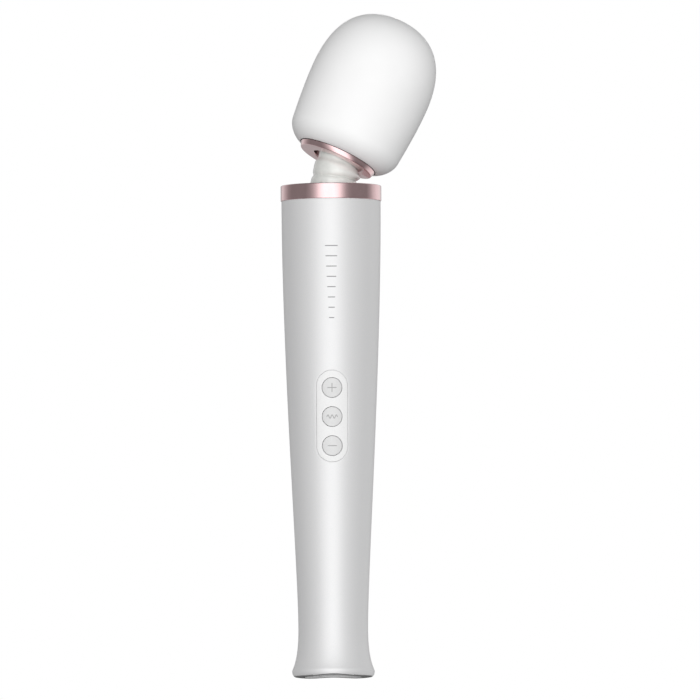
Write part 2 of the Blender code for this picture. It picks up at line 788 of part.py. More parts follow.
def make_motor():
    can_inner = MOTOR_RADIUS - MOTOR_WALL
    outline = [
        (SHAFT_RADIUS + 2 * GAP, MOTOR_TOP - MOTOR_WALL),
        (can_inner, MOTOR_TOP - MOTOR_WALL),
        (can_inner, MOTOR_BASE),
        (MOTOR_RADIUS, MOTOR_BASE),
        (MOTOR_RADIUS, MOTOR_TOP),
        (0.0040, MOTOR_TOP),
        (0.0040, MOTOR_TOP + 0.0015),
        (SHAFT_RADIUS + 2 * GAP, MOTOR_TOP + 0.0015),
    ]
    turned("motor_case", outline, STEEL, MEDIUM)
    end_cap = loop(SHAFT_RADIUS + 2 * GAP, can_inner - GAP, MOTOR_BASE, MOTOR_BASE + 0.0025)
    turned("motor_end_cap", end_cap, INNER_ABS, MEDIUM)
    magnet_outer = can_inner - GAP
    magnet_inner = magnet_outer - MAGNET_THICKNESS
    middle = (MOTOR_BASE + MOTOR_TOP) / 2 + 0.0020
    low, high = middle - MAGNET_LENGTH / 2, middle + MAGNET_LENGTH / 2
    for side, name in ((-1, "left"), (1, "right")):
        section = loop(magnet_inner, magnet_outer, low, high)
        magnet = turned(f"motor_magnet_{name}", section, FERRITE, MEDIUM)
        gap = 0.0040
        reach = 2 * HEAD_RADIUS
        west, east = sorted((side * gap, side * reach))
        keep(magnet, block(f"magnet_side_{name}", (west, -reach, 0), (east, reach, 2 * HANDLE_TOP)))
    armature = loop(SHAFT_RADIUS + GAP, magnet_inner - 2 * GAP, low, high, 0.0008)
    turned("motor_armature", armature, COPPER, MEDIUM)
    commutator = loop(SHAFT_RADIUS + GAP, 0.0035, MOTOR_BASE + 0.0035, low - 0.0012)
    turned("motor_commutator", commutator, COPPER, SMALL)
    rod("motor_shaft", SHAFT_RADIUS, (0, 0, MOTOR_BASE - 0.0010), (0, 0, HUB_BASE + 0.0095), STEEL)
    for name, base in (("lower", LOWER_CUSHION), ("upper", UPPER_CUSHION)):
        cushion = loop(MOTOR_RADIUS + GAP, CUSHION_RADIUS, base, base + CUSHION_LENGTH)
        turned(f"motor_cushion_{name}", cushion, GREY_RUBBER, MEDIUM)


# Leads


def make_leads():
    board_y = (BOARD_FRONT + BOARD_BACK) / 2
    jack_top = ARCH_HEIGHT + 2 * GAP + JACK_DEPTH
    x_jack = 0.0015
    turn_height = jack_top + LEAD_RADIUS
    clear = -CELL_RADIUS - LEAD_RADIUS - 0.0012
    for side, name, material in ((-1, "black", BLACK_LEAD), (1, "red", RED_LEAD)):
        x = side * x_jack
        route = [
            (x, JACK_OFFSET - 0.0010, turn_height),
            (x, JACK_OFFSET - 0.0040, turn_height + 0.0004),
            (x, CHASSIS_FRONT + 0.0006, turn_height + 0.0006),
            (x, clear + 0.0020, turn_height + 0.0022),
            (x, clear, turn_height + 0.0070),
            (x * 1.6, clear, 0.0500),
            (x * 1.6, clear, 0.0850),
            (x * 1.6, board_y, BOARD_BASE - 0.0040),
            (x * 1.6, board_y, BOARD_BASE - GAP),
        ]
        tube(f"charge_lead_{name}", smooth(route, 2), LEAD_RADIUS, material)
        x = side * 0.0040
        route = [
            (x, board_y, BOARD_TOP + GAP),
            (x, board_y, BOARD_TOP + 0.0040),
            (x * 1.3, -0.0100, MOTOR_BASE - 0.0100),
            (x * 1.6, -0.0085, MOTOR_BASE - 0.0030),
            (x * 1.6, -0.0080, MOTOR_BASE - GAP),
        ]
        tube(f"motor_lead_{name}", smooth(route, 3), LEAD_RADIUS, material)


# Collar and neck


HUB_BASE = HANDLE_TOP - 0.0110
HUB_TOP = HANDLE_TOP
NECK_BORE = HUB_RADIUS + 0.0013


def make_collar():
    inner = COLLAR_RADIUS - COLLAR_WALL
    plate = COLLAR_TOP - COLLAR_PLATE
    edge = arc((COLLAR_RADIUS - COLLAR_EDGE, COLLAR_TOP - COLLAR_EDGE), COLLAR_EDGE, 0, 90, 3)
    outline = [(inner, COLLAR_BASE), (COLLAR_RADIUS, COLLAR_BASE), *edge]
    outline += [(COLLAR_BORE, COLLAR_TOP), (COLLAR_BORE, plate), (inner, plate)]
    turned("collar_ring", outline, ROSE_GOLD, LARGE)


def make_neck_base():
    """Closes the handle and holds the foot of the boot."""
    outer = HANDLE_TOP_RADIUS - HANDLE_WALL - 2 * GAP
    skirt = POST_OFFSET + POST_RADIUS + GAP
    low = CHASSIS_TOP + GAP
    tube_base = MOTOR_TOP + 0.0050
    spigot_top = COLLAR_TOP - COLLAR_PLATE - GAP
    outline = [
        (NECK_BORE, tube_base),
        (NECK_BORE + 0.0015, tube_base),
        (NECK_BORE + 0.0015, PLATE_BASE),
        (skirt, PLATE_BASE),
        (skirt, low),
        (outer, low),
        (outer, PLATE_TOP),
        (SPIGOT, PLATE_TOP),
        (SPIGOT, spigot_top),
        (NECK_BORE, spigot_top),
    ]
    base = turned("neck_base", outline, INNER_ABS, MEDIUM)
    seat = PLATE_TOP - SCREW_HEAD_HEIGHT - GAP
    for side, name in ((-1, "left"), (1, "right")):
        x = side * POST_OFFSET
        above = (x, 0, 2 * PLATE_TOP)
        cut(base, rod(f"neck_screw_hole_{name}", SCREW_HOLE, (x, 0, CHASSIS_TOP), above))
        cut(base, rod(f"neck_screw_recess_{name}", SCREW_HEAD + GAP, (x, 0, seat), above))
        screw(f"neck_screw_{name}", SCREW, (x, 0, seat + GAP), (0, 0, -1))


def bend_at(height):
    """The place and turn of the neck's section at a distance from the pivot along the neck."""
    share = min(max((height / BEND_REACH + 1) / 2, 0), 1)
    turn = LEAN * share
    radius = BEND_REACH / math.tan(LEAN / 2)
    if share == 0:
        centre = Vector((0, 0, height))
    elif share == 1:
        centre = HEAD_AXIS * height
    else:
        centre = LEAN_WAY * radius * (1 - math.cos(turn))
        centre.z = -BEND_REACH + radius * math.sin(turn)
    axis = Vector((0, 0, 1)).cross(LEAN_WAY)
    return Matrix.Translation(PIVOT + centre) @ Matrix.Rotation(turn, 4, axis)


# The boot's outside as (radius, distance from the pivot, push towards the inside of the bend). The
# rubber is pushed to that side where it is free between the collar and the head.
BOOT_BASE = PLATE_TOP + GAP - PIVOT.z
BOOT_TOP = RING_TOP + GAP + BOOT_FLANGE_THICKNESS
BOOT_NECK = (
    (0.0112, BOOT_BASE + BOOT_FLANGE_THICKNESS, 0.0),
    (0.0111, -0.0080, 0.0007),
    (0.0116, -0.0062, 0.0012),
    (0.0111, -0.0042, 0.0014),
    (0.0105, -0.0028, 0.0014),
    (0.0113, -0.0013, 0.0018),
    (0.0120, 0.0006, 0.0022),
    (0.0115, 0.0030, 0.0017),
    (0.0106, 0.0050, 0.0015),
    (0.0105, 0.0070, 0.0009),
    (0.0110, BOOT_TOP - BOOT_FLANGE_THICKNESS, 0.0),
)


def make_boot():
    outer = [(BOOT_FLANGE, BOOT_BASE), (BOOT_FLANGE, BOOT_NECK[0][1])]
    outer += [(radius, height) for radius, height, push in BOOT_NECK]
    outer += [(BOOT_FLANGE, BOOT_NECK[-1][1]), (BOOT_FLANGE, BOOT_TOP)]
    bore = SPIGOT + GAP
    inner = [(bore, BOOT_TOP)]
    inner += [(radius - BOOT_WALL, height) for radius, height, push in BOOT_NECK[::-1]]
    inner += [(bore, BOOT_BASE)]
    boot = turned("neck_boot", outer + inner, NECK_RUBBER, MEDIUM)
    bpy.context.view_layer.update()
    mesh = frozen(boot).data
    pushes = [(push, height) for radius, height, push in BOOT_NECK]
    for vertex in mesh.vertices:
        height = vertex.co.z
        section = Vector((vertex.co.x, vertex.co.y, 0)) + LEAN_WAY * radius_at(pushes, height)
        vertex.co = bend_at(height) @ section


def make_neck():
    make_boot()
    half = 0.0009
    section = loop(NECK_RING_RADIUS - NECK_RING_WALL, NECK_RING_RADIUS, -half, half)
    ring = turned("neck_ring", section, INNER_ABS, MEDIUM)
    ring.matrix_world = bend_at(BOOT_NECK[4][1])
    hub = [
        (0, HUB_BASE + 0.0100),
        (SHAFT_RADIUS + GAP, HUB_BASE + 0.0100),
        (SHAFT_RADIUS + GAP, HUB_BASE),
        (HUB_RADIUS, HUB_BASE),
        (HUB_RADIUS, HUB_TOP),
        (SPIGOT_RADIUS, HUB_TOP),
        (SPIGOT_RADIUS, HUB_TOP + 0.0030),
        (0, HUB_TOP + 0.0030),
    ]
    turned("coupling_hub_lower", hub, STEEL, SMALL)
    start = HUB_TOP - PIVOT.z + COIL_WIRE + GAP
    end = UPPER_HUB - COIL_WIRE - GAP
    steps = COIL_TURNS * 8
    points = []
    for i in range(steps + 1):
        angle = math.tau * COIL_TURNS * i / steps
        section = Vector((math.cos(angle), math.sin(angle), 0)) * COIL_RADIUS
        points.append(bend_at(start + (end - start) * i / steps) @ section)
    tube("drive_coupling", points, COIL_WIRE, STEEL)


# Head


HEAD_OPENING = RING_RADIUS + 0.0004
COVER_BASE = RING_TOP - 0.0001
UPPER_HUB = CLAMP_BASE + 0.0006
SHAFT_START = UPPER_HUB + 0.0020
SHAFT_END = UPPER_BEARING + BEARING_WIDTH + 0.0015


def cover_outline():
    """Outside of the silicone head from its opening up to its crown."""
    wide = SHOULDER_RADIUS - HEAD_OPENING
    tall = SHOULDER_HEIGHT - COVER_BASE
    lower = bezier(
        (HEAD_OPENING, COVER_BASE),
        (HEAD_OPENING + 0.40 * wide, COVER_BASE + 0.09 * tall),
        (HEAD_OPENING + 0.92 * wide, COVER_BASE + 0.50 * tall),
        (SHOULDER_RADIUS, SHOULDER_HEIGHT),
        4,
    )
    wide = HEAD_RADIUS - SHOULDER_RADIUS
    tall = HEAD_WIDEST - SHOULDER_HEIGHT
    side = bezier(
        (SHOULDER_RADIUS, SHOULDER_HEIGHT),
        (SHOULDER_RADIUS + 0.38 * wide, SHOULDER_HEIGHT + 0.25 * tall),
        (HEAD_RADIUS, SHOULDER_HEIGHT + 0.62 * tall),
        (HEAD_RADIUS, HEAD_WIDEST),
        3,
    )
    tall = HEAD_TOP - HEAD_WIDEST
    crown = bezier(
        (HEAD_RADIUS, HEAD_WIDEST),
        (HEAD_RADIUS, HEAD_WIDEST + 0.57 * tall),
        (HEAD_RADIUS * 0.74, HEAD_TOP),
        (0, HEAD_TOP),
        8,
    )
    return lower + side[1:] + crown[1:]


COVER = cover_outline()
CORE_OUTER = inset(COVER, COVER_WALL + GAP)
CORE_INNER = inset(COVER, COVER_WALL + GAP + CORE_WALL)
FLOOR_TOP = CLAMP_BASE - GAP


def make_cover():
    lip = (HEAD_OPENING, COVER_BASE + COVER_WALL)
    inner = [point for point in inset(COVER, COVER_WALL) if point[1] > lip[1] + GAP]
    turned("head_cover", [*COVER[::-1], lip, *inner], SILICONE, LARGE, HEAD)


def make_ring():
    upper = arc((RING_RADIUS - RING_EDGE, RING_TOP - RING_EDGE), RING_EDGE, 0, 90, 2)
    lower = arc((RING_RADIUS - RING_EDGE, RING_BASE + RING_EDGE), RING_EDGE, -90, 0, 2)
    outline = [(RING_BORE, RING_BASE), *lower, *upper, (RING_BORE, RING_TOP)]
    ring = turned("head_ring", outline, ROSE_GOLD, LARGE, HEAD)
    clamp_top = CLAMP_BASE + CLAMP_THICKNESS
    blind = RING_BASE + RING_HEIGHT / 4
    mesh = screw_mesh(clamp_top - blind)
    section = loop(SPIGOT + GAP, CLAMP_RADIUS, CLAMP_BASE, clamp_top)
    clamp = turned("boot_clamp", section, STEEL, MEDIUM, HEAD)
    core = make_lower_core()
    for i, name in enumerate(("front", "left", "right")):
        angle = math.radians(-80 - 120 * i)
        x = CORE_SCREW_CIRCLE * math.cos(angle)
        y = CORE_SCREW_CIRCLE * math.sin(angle)
        for piece, made in (("ring", ring), ("core", core), ("clamp", clamp)):
            low, high = (x, y, blind), (x, y, 2 * clamp_top)
            cut(made, rod(f"{piece}_screw_hole_{name}", SCREW_HOLE, low, high, parent=HEAD))
        screw(f"head_screw_{name}", mesh, (x, y, clamp_top + GAP), (0, 0, -1), HEAD)


def make_lower_core():
    """The stiff cup under the silicone, with a floor that sits on the ring."""
    hole = BOOT_FLANGE + GAP
    floor = RING_TOP + GAP
    plug = HEAD_OPENING - GAP
    lip = COVER_BASE + COVER_WALL + GAP
    outer = between(CORE_OUTER, CORE_OUTER[0][1], CORE_SPLIT)
    inner = between(CORE_INNER, CORE_INNER[0][1], CORE_SPLIT)
    outer = [point for point in outer if point[0] > plug and point[1] > lip]
    inner = [point for point in inner if point[1] > FLOOR_TOP + CORE_WALL]
    outline = [(hole, floor), (plug, floor), (plug, lip), *outer, *inner[::-1]]
    outline += [(CLAMP_RADIUS + GAP, FLOOR_TOP), (hole, FLOOR_TOP)]
    return turned("head_core_lower", outline, INNER_ABS, MEDIUM, HEAD)


def make_upper_core():
    low = CORE_SPLIT + GAP
    outer = between(CORE_OUTER, low, CORE_OUTER[-1][1])
    inner = between(CORE_INNER, low, CORE_INNER[-1][1])
    turned("head_core_upper", [*outer[::-1], *inner[:-1:2], inner[-1]], INNER_ABS, MEDIUM, HEAD)


def make_bearings():
    seat = BEARING_RADIUS + GAP
    hub = seat + 0.0022
    stop = BEARING_RADIUS - 0.0020
    low = LOWER_BEARING - GAP
    rim = radius_at(CORE_INNER, low - 0.0014) - GAP
    outline = [
        (stop, low - 0.0014),
        (rim, low - 0.0014),
        (rim, low + 0.0008),
        (hub, low + 0.0008),
        (hub, LOWER_BEARING + BEARING_WIDTH),
        (seat, LOWER_BEARING + BEARING_WIDTH),
        (seat, low),
        (stop, low),
    ]
    turned("bearing_plate", outline, STEEL, MEDIUM, HEAD)
    high = UPPER_BEARING + BEARING_WIDTH + GAP
    rim = radius_at(CORE_INNER, high + 0.0014) - 2 * GAP
    outline = [
        (stop, high + 0.0014),
        (rim, high + 0.0014),
        (rim, high - 0.0008),
        (hub, high - 0.0008),
        (hub, UPPER_BEARING),
        (seat, UPPER_BEARING),
        (seat, high),
        (stop, high),
    ]
    turned("bearing_bridge", outline, STEEL, MEDIUM, HEAD)
    for name, base in (("lower", LOWER_BEARING), ("upper", UPPER_BEARING)):
        section = loop(WEIGHT_SHAFT_RADIUS + GAP, BEARING_RADIUS, base, base + BEARING_WIDTH, 0.0003)
        turned(f"bearing_{name}", section, STEEL, MEDIUM, HEAD)


def make_weight():
    """The shaft, and the weight hanging to its lowest side as it does when the motor is off."""
    downhill = HEAD_TURN.inverted() @ Vector((0, 0, -1))
    swing = math.atan2(downhill.y, downhill.x) + math.pi / 2
    turn = HEAD_TURN @ Matrix.Rotation(swing, 4, "Z")
    hanging = empty("weight_pivot", Matrix.Translation(PIVOT) @ turn)
    start, end = (0, 0, SHAFT_START), (0, 0, SHAFT_END)
    rod("weight_shaft", WEIGHT_SHAFT_RADIUS, start, end, STEEL, parent=HEAD)
    hub_top = LOWER_BEARING - GAP - 0.0014 - 0.0008
    outline = [
        (0, UPPER_HUB - 0.0030),
        (SPIGOT_RADIUS, UPPER_HUB - 0.0030),
        (SPIGOT_RADIUS, UPPER_HUB),
        (HUB_RADIUS, UPPER_HUB),
        (HUB_RADIUS, hub_top),
        (WEIGHT_SHAFT_RADIUS + GAP, hub_top),
        (WEIGHT_SHAFT_RADIUS + GAP, SHAFT_START - GAP),
        (0, SHAFT_START - GAP),
    ]
    turned("coupling_hub_upper", outline, STEEL, SMALL, HEAD)
    top = WEIGHT_BASE + WEIGHT_HEIGHT
    bore = WEIGHT_SHAFT_RADIUS + GAP
    section = loop(bore, WEIGHT_RADIUS, WEIGHT_BASE, top, 0.0010)
    weight = turned("eccentric_weight", section, CAST_STEEL, MEDIUM, hanging)
    reach = 2 * WEIGHT_RADIUS
    notch = block("weight_notch", (-reach, bore * 0.4, 0), (reach, reach, 2 * top), parent=hanging)
    cut(weight, notch)
    section = loop(bore, bore + 0.0025, WEIGHT_BASE, top)
    collar = turned("weight_collar", section, sides=SMALL, parent=hanging)
    add(weight, collar)


make_shells()
make_panel()
make_buttons()
make_board()
make_board_screws()
make_foot()
make_chassis()
make_cells()
make_motor()
make_leads()
make_collar()
make_neck_base()
make_neck()
make_cover()
make_ring()
make_upper_core()
make_bearings()
make_weight()
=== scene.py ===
"""Handheld wand massager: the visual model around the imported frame, in metres, with the handle standing
on its foot at Z = 0, the buttons facing -Y and the head leaning towards +X."""

import json
import math

import bmesh
import bpy
from mathutils import Matrix, Vector
from mathutils.geometry import delaunay_2d_cdt, interpolate_bezier


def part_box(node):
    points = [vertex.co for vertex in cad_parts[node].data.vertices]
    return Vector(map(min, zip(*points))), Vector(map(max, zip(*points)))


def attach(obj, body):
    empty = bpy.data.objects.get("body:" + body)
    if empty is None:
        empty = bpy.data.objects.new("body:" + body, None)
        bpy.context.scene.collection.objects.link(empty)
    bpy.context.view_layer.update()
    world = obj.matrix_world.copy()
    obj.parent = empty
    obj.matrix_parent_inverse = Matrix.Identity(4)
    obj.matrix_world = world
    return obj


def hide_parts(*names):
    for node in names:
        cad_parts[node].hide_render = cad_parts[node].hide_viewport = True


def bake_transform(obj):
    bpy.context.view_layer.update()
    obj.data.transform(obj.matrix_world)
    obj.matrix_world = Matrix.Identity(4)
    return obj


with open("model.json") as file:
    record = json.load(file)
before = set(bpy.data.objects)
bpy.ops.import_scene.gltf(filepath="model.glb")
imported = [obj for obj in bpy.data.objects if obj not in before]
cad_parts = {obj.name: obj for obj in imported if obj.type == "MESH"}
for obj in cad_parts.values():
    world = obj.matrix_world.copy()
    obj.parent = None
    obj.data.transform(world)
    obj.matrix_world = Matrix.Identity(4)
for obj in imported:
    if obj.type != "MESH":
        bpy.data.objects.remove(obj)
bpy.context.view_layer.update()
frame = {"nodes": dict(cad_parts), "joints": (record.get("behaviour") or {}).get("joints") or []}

# The handle is two half shells moulded in pearl-white ABS, 2.2 mm thick, that meet in a parting line down
# each side. It tapers from the collar to a waist above a flared foot, which a shallow arch crosses from front
# to back. The front shell has a racetrack opening for the control panel.
MM = 0.001
FIT_GAP = 0.3 * MM  # running gap between moulded pieces
HANDLE_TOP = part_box("collar_ring")[0].z - 0.05 * MM
TOP_RADIUS = 24.8 * MM
WAIST = (17.4 * MM, 24.0 * MM)  # radius, height
FLARE = (20.6 * MM, 3.3 * MM)
FOOT_FLAT = 18.6 * MM
SHELL_WALL = 2.2 * MM
FLOOR_THICKNESS = 3.3 * MM
FLOOR_OPENING = 14.0 * MM
ARCH_RISE = 0.8 * MM
ARCH_HALF = 13.4 * MM  # from the middle of the foot to where the arch meets the table
ARCH_REACH = 6.0 * MM  # the rows below this height make room for the arch
ARCH_BEVEL = 0.3 * MM
EDGE_ROUND = 0.3 * MM
TOP_ROUND = 0.1 * MM
SEAM_BEVEL = 0.15 * MM
COLUMN = math.radians(2.25)
WINDOW_COLUMNS = 13  # columns to each side of the middle that the opening's surroundings take
PANEL_MIDDLE = sum(corner.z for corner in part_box("control_panel")) / 2
PANEL_SIZE = (15.6 * MM, 45.8 * MM)
PANEL_GAP = 0.04 * MM
WINDOW_MARGIN = 2.4 * MM


def curve_points(start, leave, arrive, end, steps):
    """Points on a cubic curve between (radius, height) pairs, both ends included."""
    corners = [Vector((*corner, 0)) for corner in (start, leave, arrive, end)]
    return [(point.x, point.y) for point in interpolate_bezier(*corners, steps + 1)]


def round_points(centre, radius, first, last, steps):
    """Points on an arc between two angles in degrees, both ends included."""
    turns = [math.radians(first + (last - first) * i / steps) for i in range(steps + 1)]
    return [(centre[0] + radius * math.cos(t), centre[1] + radius * math.sin(t)) for t in turns]


def at_height(outline, height):
    """The first value of a rising outline, such as its radius, at a height."""
    for (r0, z0), (r1, z1) in zip(outline, outline[1:]):
        if z0 <= height <= z1 and z1 > z0:
            return r0 + (r1 - r0) * (height - z0) / (z1 - z0)
    return outline[0][0] if height < outline[0][1] else outline[-1][0]


def ease(t):
    t = min(max(t, 0), 1)
    return t * t * (3 - 2 * t)


def grid_faces(shape, grid, around=False):
    """Adds a grid of points as quads to a mesh in the making. A grid that goes around closes on itself."""
    rows = [[shape.verts.new(point) for point in row] for row in grid]
    last = len(rows[0]) if around else len(rows[0]) - 1
    for lower, upper in zip(rows, rows[1:]):
        for i in range(last):
            j = (i + 1) % len(lower)
            shape.faces.new((lower[i], lower[j], upper[j], upper[i]))


def within(x, z, loops):
    """Whether (x, z) lies in the region between closed loops, by counting the edges to its right."""
    crossed = 0
    for loop in loops:
        for (x0, z0), (x1, z1) in zip(loop, [*loop[1:], loop[0]]):
            if (z0 > z) != (z1 > z) and x < x0 + (x1 - x0) * (z - z0) / (z1 - z0):
                crossed += 1
    return crossed % 2 == 1


def plane_faces(shape, loops, inner_points, lay):
    """Adds the flat region between closed loops of (x, z) points, filled with triangles and laid in space."""
    flat, edges = [], []
    for loop in loops:
        first = len(flat)
        flat += [Vector(point) for point in loop]
        count = len(loop)
        edges += [(first + i, first + (i + 1) % count) for i in range(count)]
    flat += [Vector(point) for point in inner_points]
    points, _, faces, *_ = delaunay_2d_cdt(flat, edges, [], 0, 1e-7)
    verts = [shape.verts.new(lay(point.x, point.y)) for point in points]
    for face in faces:
        middle = sum((points[i] for i in face), Vector((0, 0))) / len(face)
        if within(middle.x, middle.y, loops):
            shape.faces.new([verts[i] for i in face])


def finished(name, shape, sharp=35.0, merge=2e-6):
    """Turns a mesh in the making into a piece: joined, facing outwards, smooth but for its sharp edges."""
    bmesh.ops.remove_doubles(shape, verts=shape.verts, dist=merge)
    bmesh.ops.recalc_face_normals(shape, faces=shape.faces)
    mesh = bpy.data.meshes.new(name)
    shape.to_mesh(mesh)
    shape.free()
    mesh.shade_smooth()
    mesh.set_sharp_from_angle(angle=math.radians(sharp))
    piece = bpy.data.objects.new(name, mesh)
    bpy.context.scene.collection.objects.link(piece)
    return piece


def racetrack_loop(width, height, middle, grow=0.0, arc_steps=20, straight_steps=16):
    """A racetrack's outline as (x, z) points about (0, middle), grown outwards by a distance."""
    radius = width / 2 + grow
    straight = (height - width) / 2
    loop = []
    for side, first in ((1, 0), (-1, 180)):
        loop += round_points((0, middle + side * straight), radius, first, first + 180, arc_steps)[:-1]
        x = -side * radius
        loop += [(x, middle + side * straight * (1 - 2 * i / straight_steps)) for i in range(straight_steps)]
    return loop


def racetrack_distance(x, z, width, height, middle):
    """How far a point lies outside a racetrack, or inside it where negative."""
    straight = (height - width) / 2
    beyond = max(abs(z - middle) - straight, 0)
    return math.hypot(x, beyond) - width / 2


FOOT_ROUND = curve_points(
    (FOOT_FLAT, 0),
    (FLARE[0] - 0.3 * MM, 0),
    (FLARE[0] + 0.2 * MM, FLARE[1] * 0.72),
    FLARE,
    8,
)
flare_in, flare_up = FLARE[0] - WAIST[0], WAIST[1] - FLARE[1]
body_up = HANDLE_TOP - WAIST[1]
HANDLE_SIDE = FOOT_ROUND + curve_points(
    FLARE,
    (FLARE[0] - 0.58 * flare_in, FLARE[1] + 0.19 * flare_up),
    (WAIST[0], FLARE[1] + 0.49 * flare_up),
    WAIST,
    24,
)[1:]
HANDLE_SIDE += curve_points(
    WAIST,
    (WAIST[0], WAIST[1] + 0.14 * body_up),
    (TOP_RADIUS, WAIST[1] + 0.62 * body_up),
    (TOP_RADIUS, HANDLE_TOP),
    120,
)[1:]


def handle_radius(height):
    return at_height(HANDLE_SIDE, height)


def on_handle(x, z, depth=0.0):
    """The point on the front of the handle at (x, z), or under its surface by a depth."""
    radius = handle_radius(z) - depth
    return Vector((x, -math.sqrt(radius**2 - x**2), z))


def arch_height(x):
    """How high the arch stands at a distance from the middle of the foot."""
    return ARCH_RISE * ease(1 - abs(x) / ARCH_HALF)


window_low = PANEL_MIDDLE - PANEL_SIZE[1] / 2 - WINDOW_MARGIN
window_high = PANEL_MIDDLE + PANEL_SIZE[1] / 2 + WINDOW_MARGIN
foot_rows = [height for radius, height in HANDLE_SIDE if height <= WAIST[1]]
low_rows = [WAIST[1] + (window_low - WAIST[1]) * i / 28 for i in range(1, 28)]
window_rows = [window_low + (window_high - window_low) * i / 32 for i in range(33)]
high_rows = [window_high + (HANDLE_TOP - TOP_ROUND - window_high) * i / 28 for i in range(1, 29)]
SIDE_ROWS = foot_rows + low_rows + window_rows + high_rows
wall_rows = [height for height in reversed(SIDE_ROWS) if height > FLOOR_THICKNESS + 0.5 * MM]
top_round = round_points(
    (handle_radius(HANDLE_TOP) - TOP_ROUND, HANDLE_TOP - TOP_ROUND), TOP_ROUND, 0, 90, 4
)
outer_run = [(handle_radius(height), height) for height in SIDE_ROWS]
outer_run[: len(FOOT_ROUND)] = FOOT_ROUND
SHELL_LOOP = outer_run + top_round[1:]
INNER_START = len(SHELL_LOOP)
SHELL_LOOP += [(handle_radius(HANDLE_TOP) - SHELL_WALL, HANDLE_TOP)]
SHELL_LOOP += [(handle_radius(height) - SHELL_WALL, height) for height in wall_rows]
SHELL_LOOP += [
    (handle_radius(FLOOR_THICKNESS) - SHELL_WALL, FLOOR_THICKNESS),
    (FLOOR_OPENING, FLOOR_THICKNESS),
    (FLOOR_OPENING, EDGE_ROUND),
    (FLOOR_OPENING + EDGE_ROUND, 0),
]


def shell_point(radius, height, azimuth, facing, outer):
    """A point of a half shell. Its last columns end at the parting plane, with their outer edge eased."""
    end = math.radians(90)
    if height < ARCH_REACH:
        arch = arch_height(radius * math.sin(azimuth))
        low = height < 1e-9
        height = arch + height * (1 - arch / ARCH_REACH)
        if outer:
            radius = handle_radius(height) - (ARCH_BEVEL * arch / ARCH_RISE if low else 0)
    if abs(abs(azimuth) - end) < 1e-6:
        if outer:
            radius -= SEAM_BEVEL
        x = math.copysign(math.sqrt(radius**2 - (FIT_GAP / 2) ** 2), azimuth)
        y = -FIT_GAP / 2
    else:
        x, y = radius * math.sin(azimuth), -radius * math.cos(azimuth)
    return Vector((x, facing * y, height))


def half_shell(name, facing, window):
    """A half shell of the handle. The front one leaves out a window, filled round the racetrack opening."""
    end = math.radians(90)
    middle_columns = round(end / COLUMN) - 1
    azimuths = [i * COLUMN for i in range(-middle_columns, middle_columns + 1)]
    beside_seam = end - math.asin(0.4 * MM / TOP_RADIUS)
    azimuths = [-end, -beside_seam, *azimuths, beside_seam, end]
    shape = bmesh.new()
    columns = []
    for azimuth in azimuths:
        column = []
        for i, (radius, height) in enumerate(SHELL_LOOP):
            outer = i < INNER_START
            column.append(shape.verts.new(shell_point(radius, height, azimuth, facing, outer)))
        columns.append(column)
    reach = WINDOW_COLUMNS * COLUMN + 1e-6
    count = len(SHELL_LOOP)
    for a in range(len(azimuths) - 1):
        in_columns = -reach < azimuths[a] and azimuths[a + 1] < reach
        for i in range(count):
            j = (i + 1) % count
            low, high = sorted((SHELL_LOOP[i][1], SHELL_LOOP[j][1]))
            if window and in_columns and low > window_low - 1e-7 and high < window_high + 1e-7:
                continue
            shape.faces.new((columns[a][i], columns[a + 1][i], columns[a + 1][j], columns[a][j]))
    for column in (columns[0], columns[-1]):
        shape.faces.new(column)
    if window:
        opening = (PANEL_SIZE[0] + 2 * PANEL_GAP, PANEL_SIZE[1] + 2 * PANEL_GAP)
        for depth, round_off in ((0.0, EDGE_ROUND), (SHELL_WALL, 0.0)):
            border = window_border(depth)
            rim = racetrack_loop(*opening, PANEL_MIDDLE, round_off)
            inner = [
                point
                for point in window_grid(depth)
                if racetrack_distance(*point, *opening, PANEL_MIDDLE) > round_off + 0.6 * MM
            ]
            plane_faces(shape, [border, rim], inner, lambda x, z, d=depth: on_handle(x, z, d))
        steps = 5
        rings = []
        for i in range(steps + 1):
            turn = math.pi / 2 * i / steps
            grow = EDGE_ROUND * (1 - math.sin(turn))
            rings.append((grow, EDGE_ROUND * (1 - math.cos(turn))))
        rings.append((0.0, SHELL_WALL))
        grid = [
            [on_handle(x, z, depth) for x, z in racetrack_loop(*opening, PANEL_MIDDLE, grow)]
            for grow, depth in rings
        ]
        grid_faces(shape, grid, around=True)
    return finished(name, shape)


def window_grid(depth):
    """The (x, z) points of the shell's rows and columns within the window."""
    columns = range(-WINDOW_COLUMNS + 1, WINDOW_COLUMNS)
    return [
        ((handle_radius(z) - depth) * math.sin(i * COLUMN), z)
        for z in window_rows[1:-1]
        for i in columns
    ]


def window_border(depth):
    """The window's edge as (x, z) points, on the rows and columns of the shell around it."""
    span = WINDOW_COLUMNS

    def place(i, z):
        return ((handle_radius(z) - depth) * math.sin(i * COLUMN), z)

    bottom = [place(i, window_rows[0]) for i in range(-span, span)]
    right = [place(span, z) for z in window_rows[:-1]]
    top = [place(i, window_rows[-1]) for i in range(span, -span, -1)]
    left = [place(-span, z) for z in window_rows[:0:-1]]
    return bottom + right + top + left


def linear(hex_colour):
    """An sRGB hex colour as linear RGBA."""
    channels = [int(hex_colour[i : i + 2], 16) / 255 for i in (0, 2, 4)]
    return (*[c / 12.92 if c <= 0.04045 else ((c + 0.055) / 1.055) ** 2.4 for c in channels], 1.0)


def node(tree, kind, links=(), **settings):
    """Adds a node with its settings and inputs. A value that is a socket is linked, any other is set."""
    added = tree.nodes.new(kind)
    for name, value in settings.items():
        setattr(added, name, value)
    for name, value in dict(links).items():
        if isinstance(value, bpy.types.NodeSocket):
            tree.links.new(value, added.inputs[name])
        else:
            added.inputs[name].default_value = value
    return added


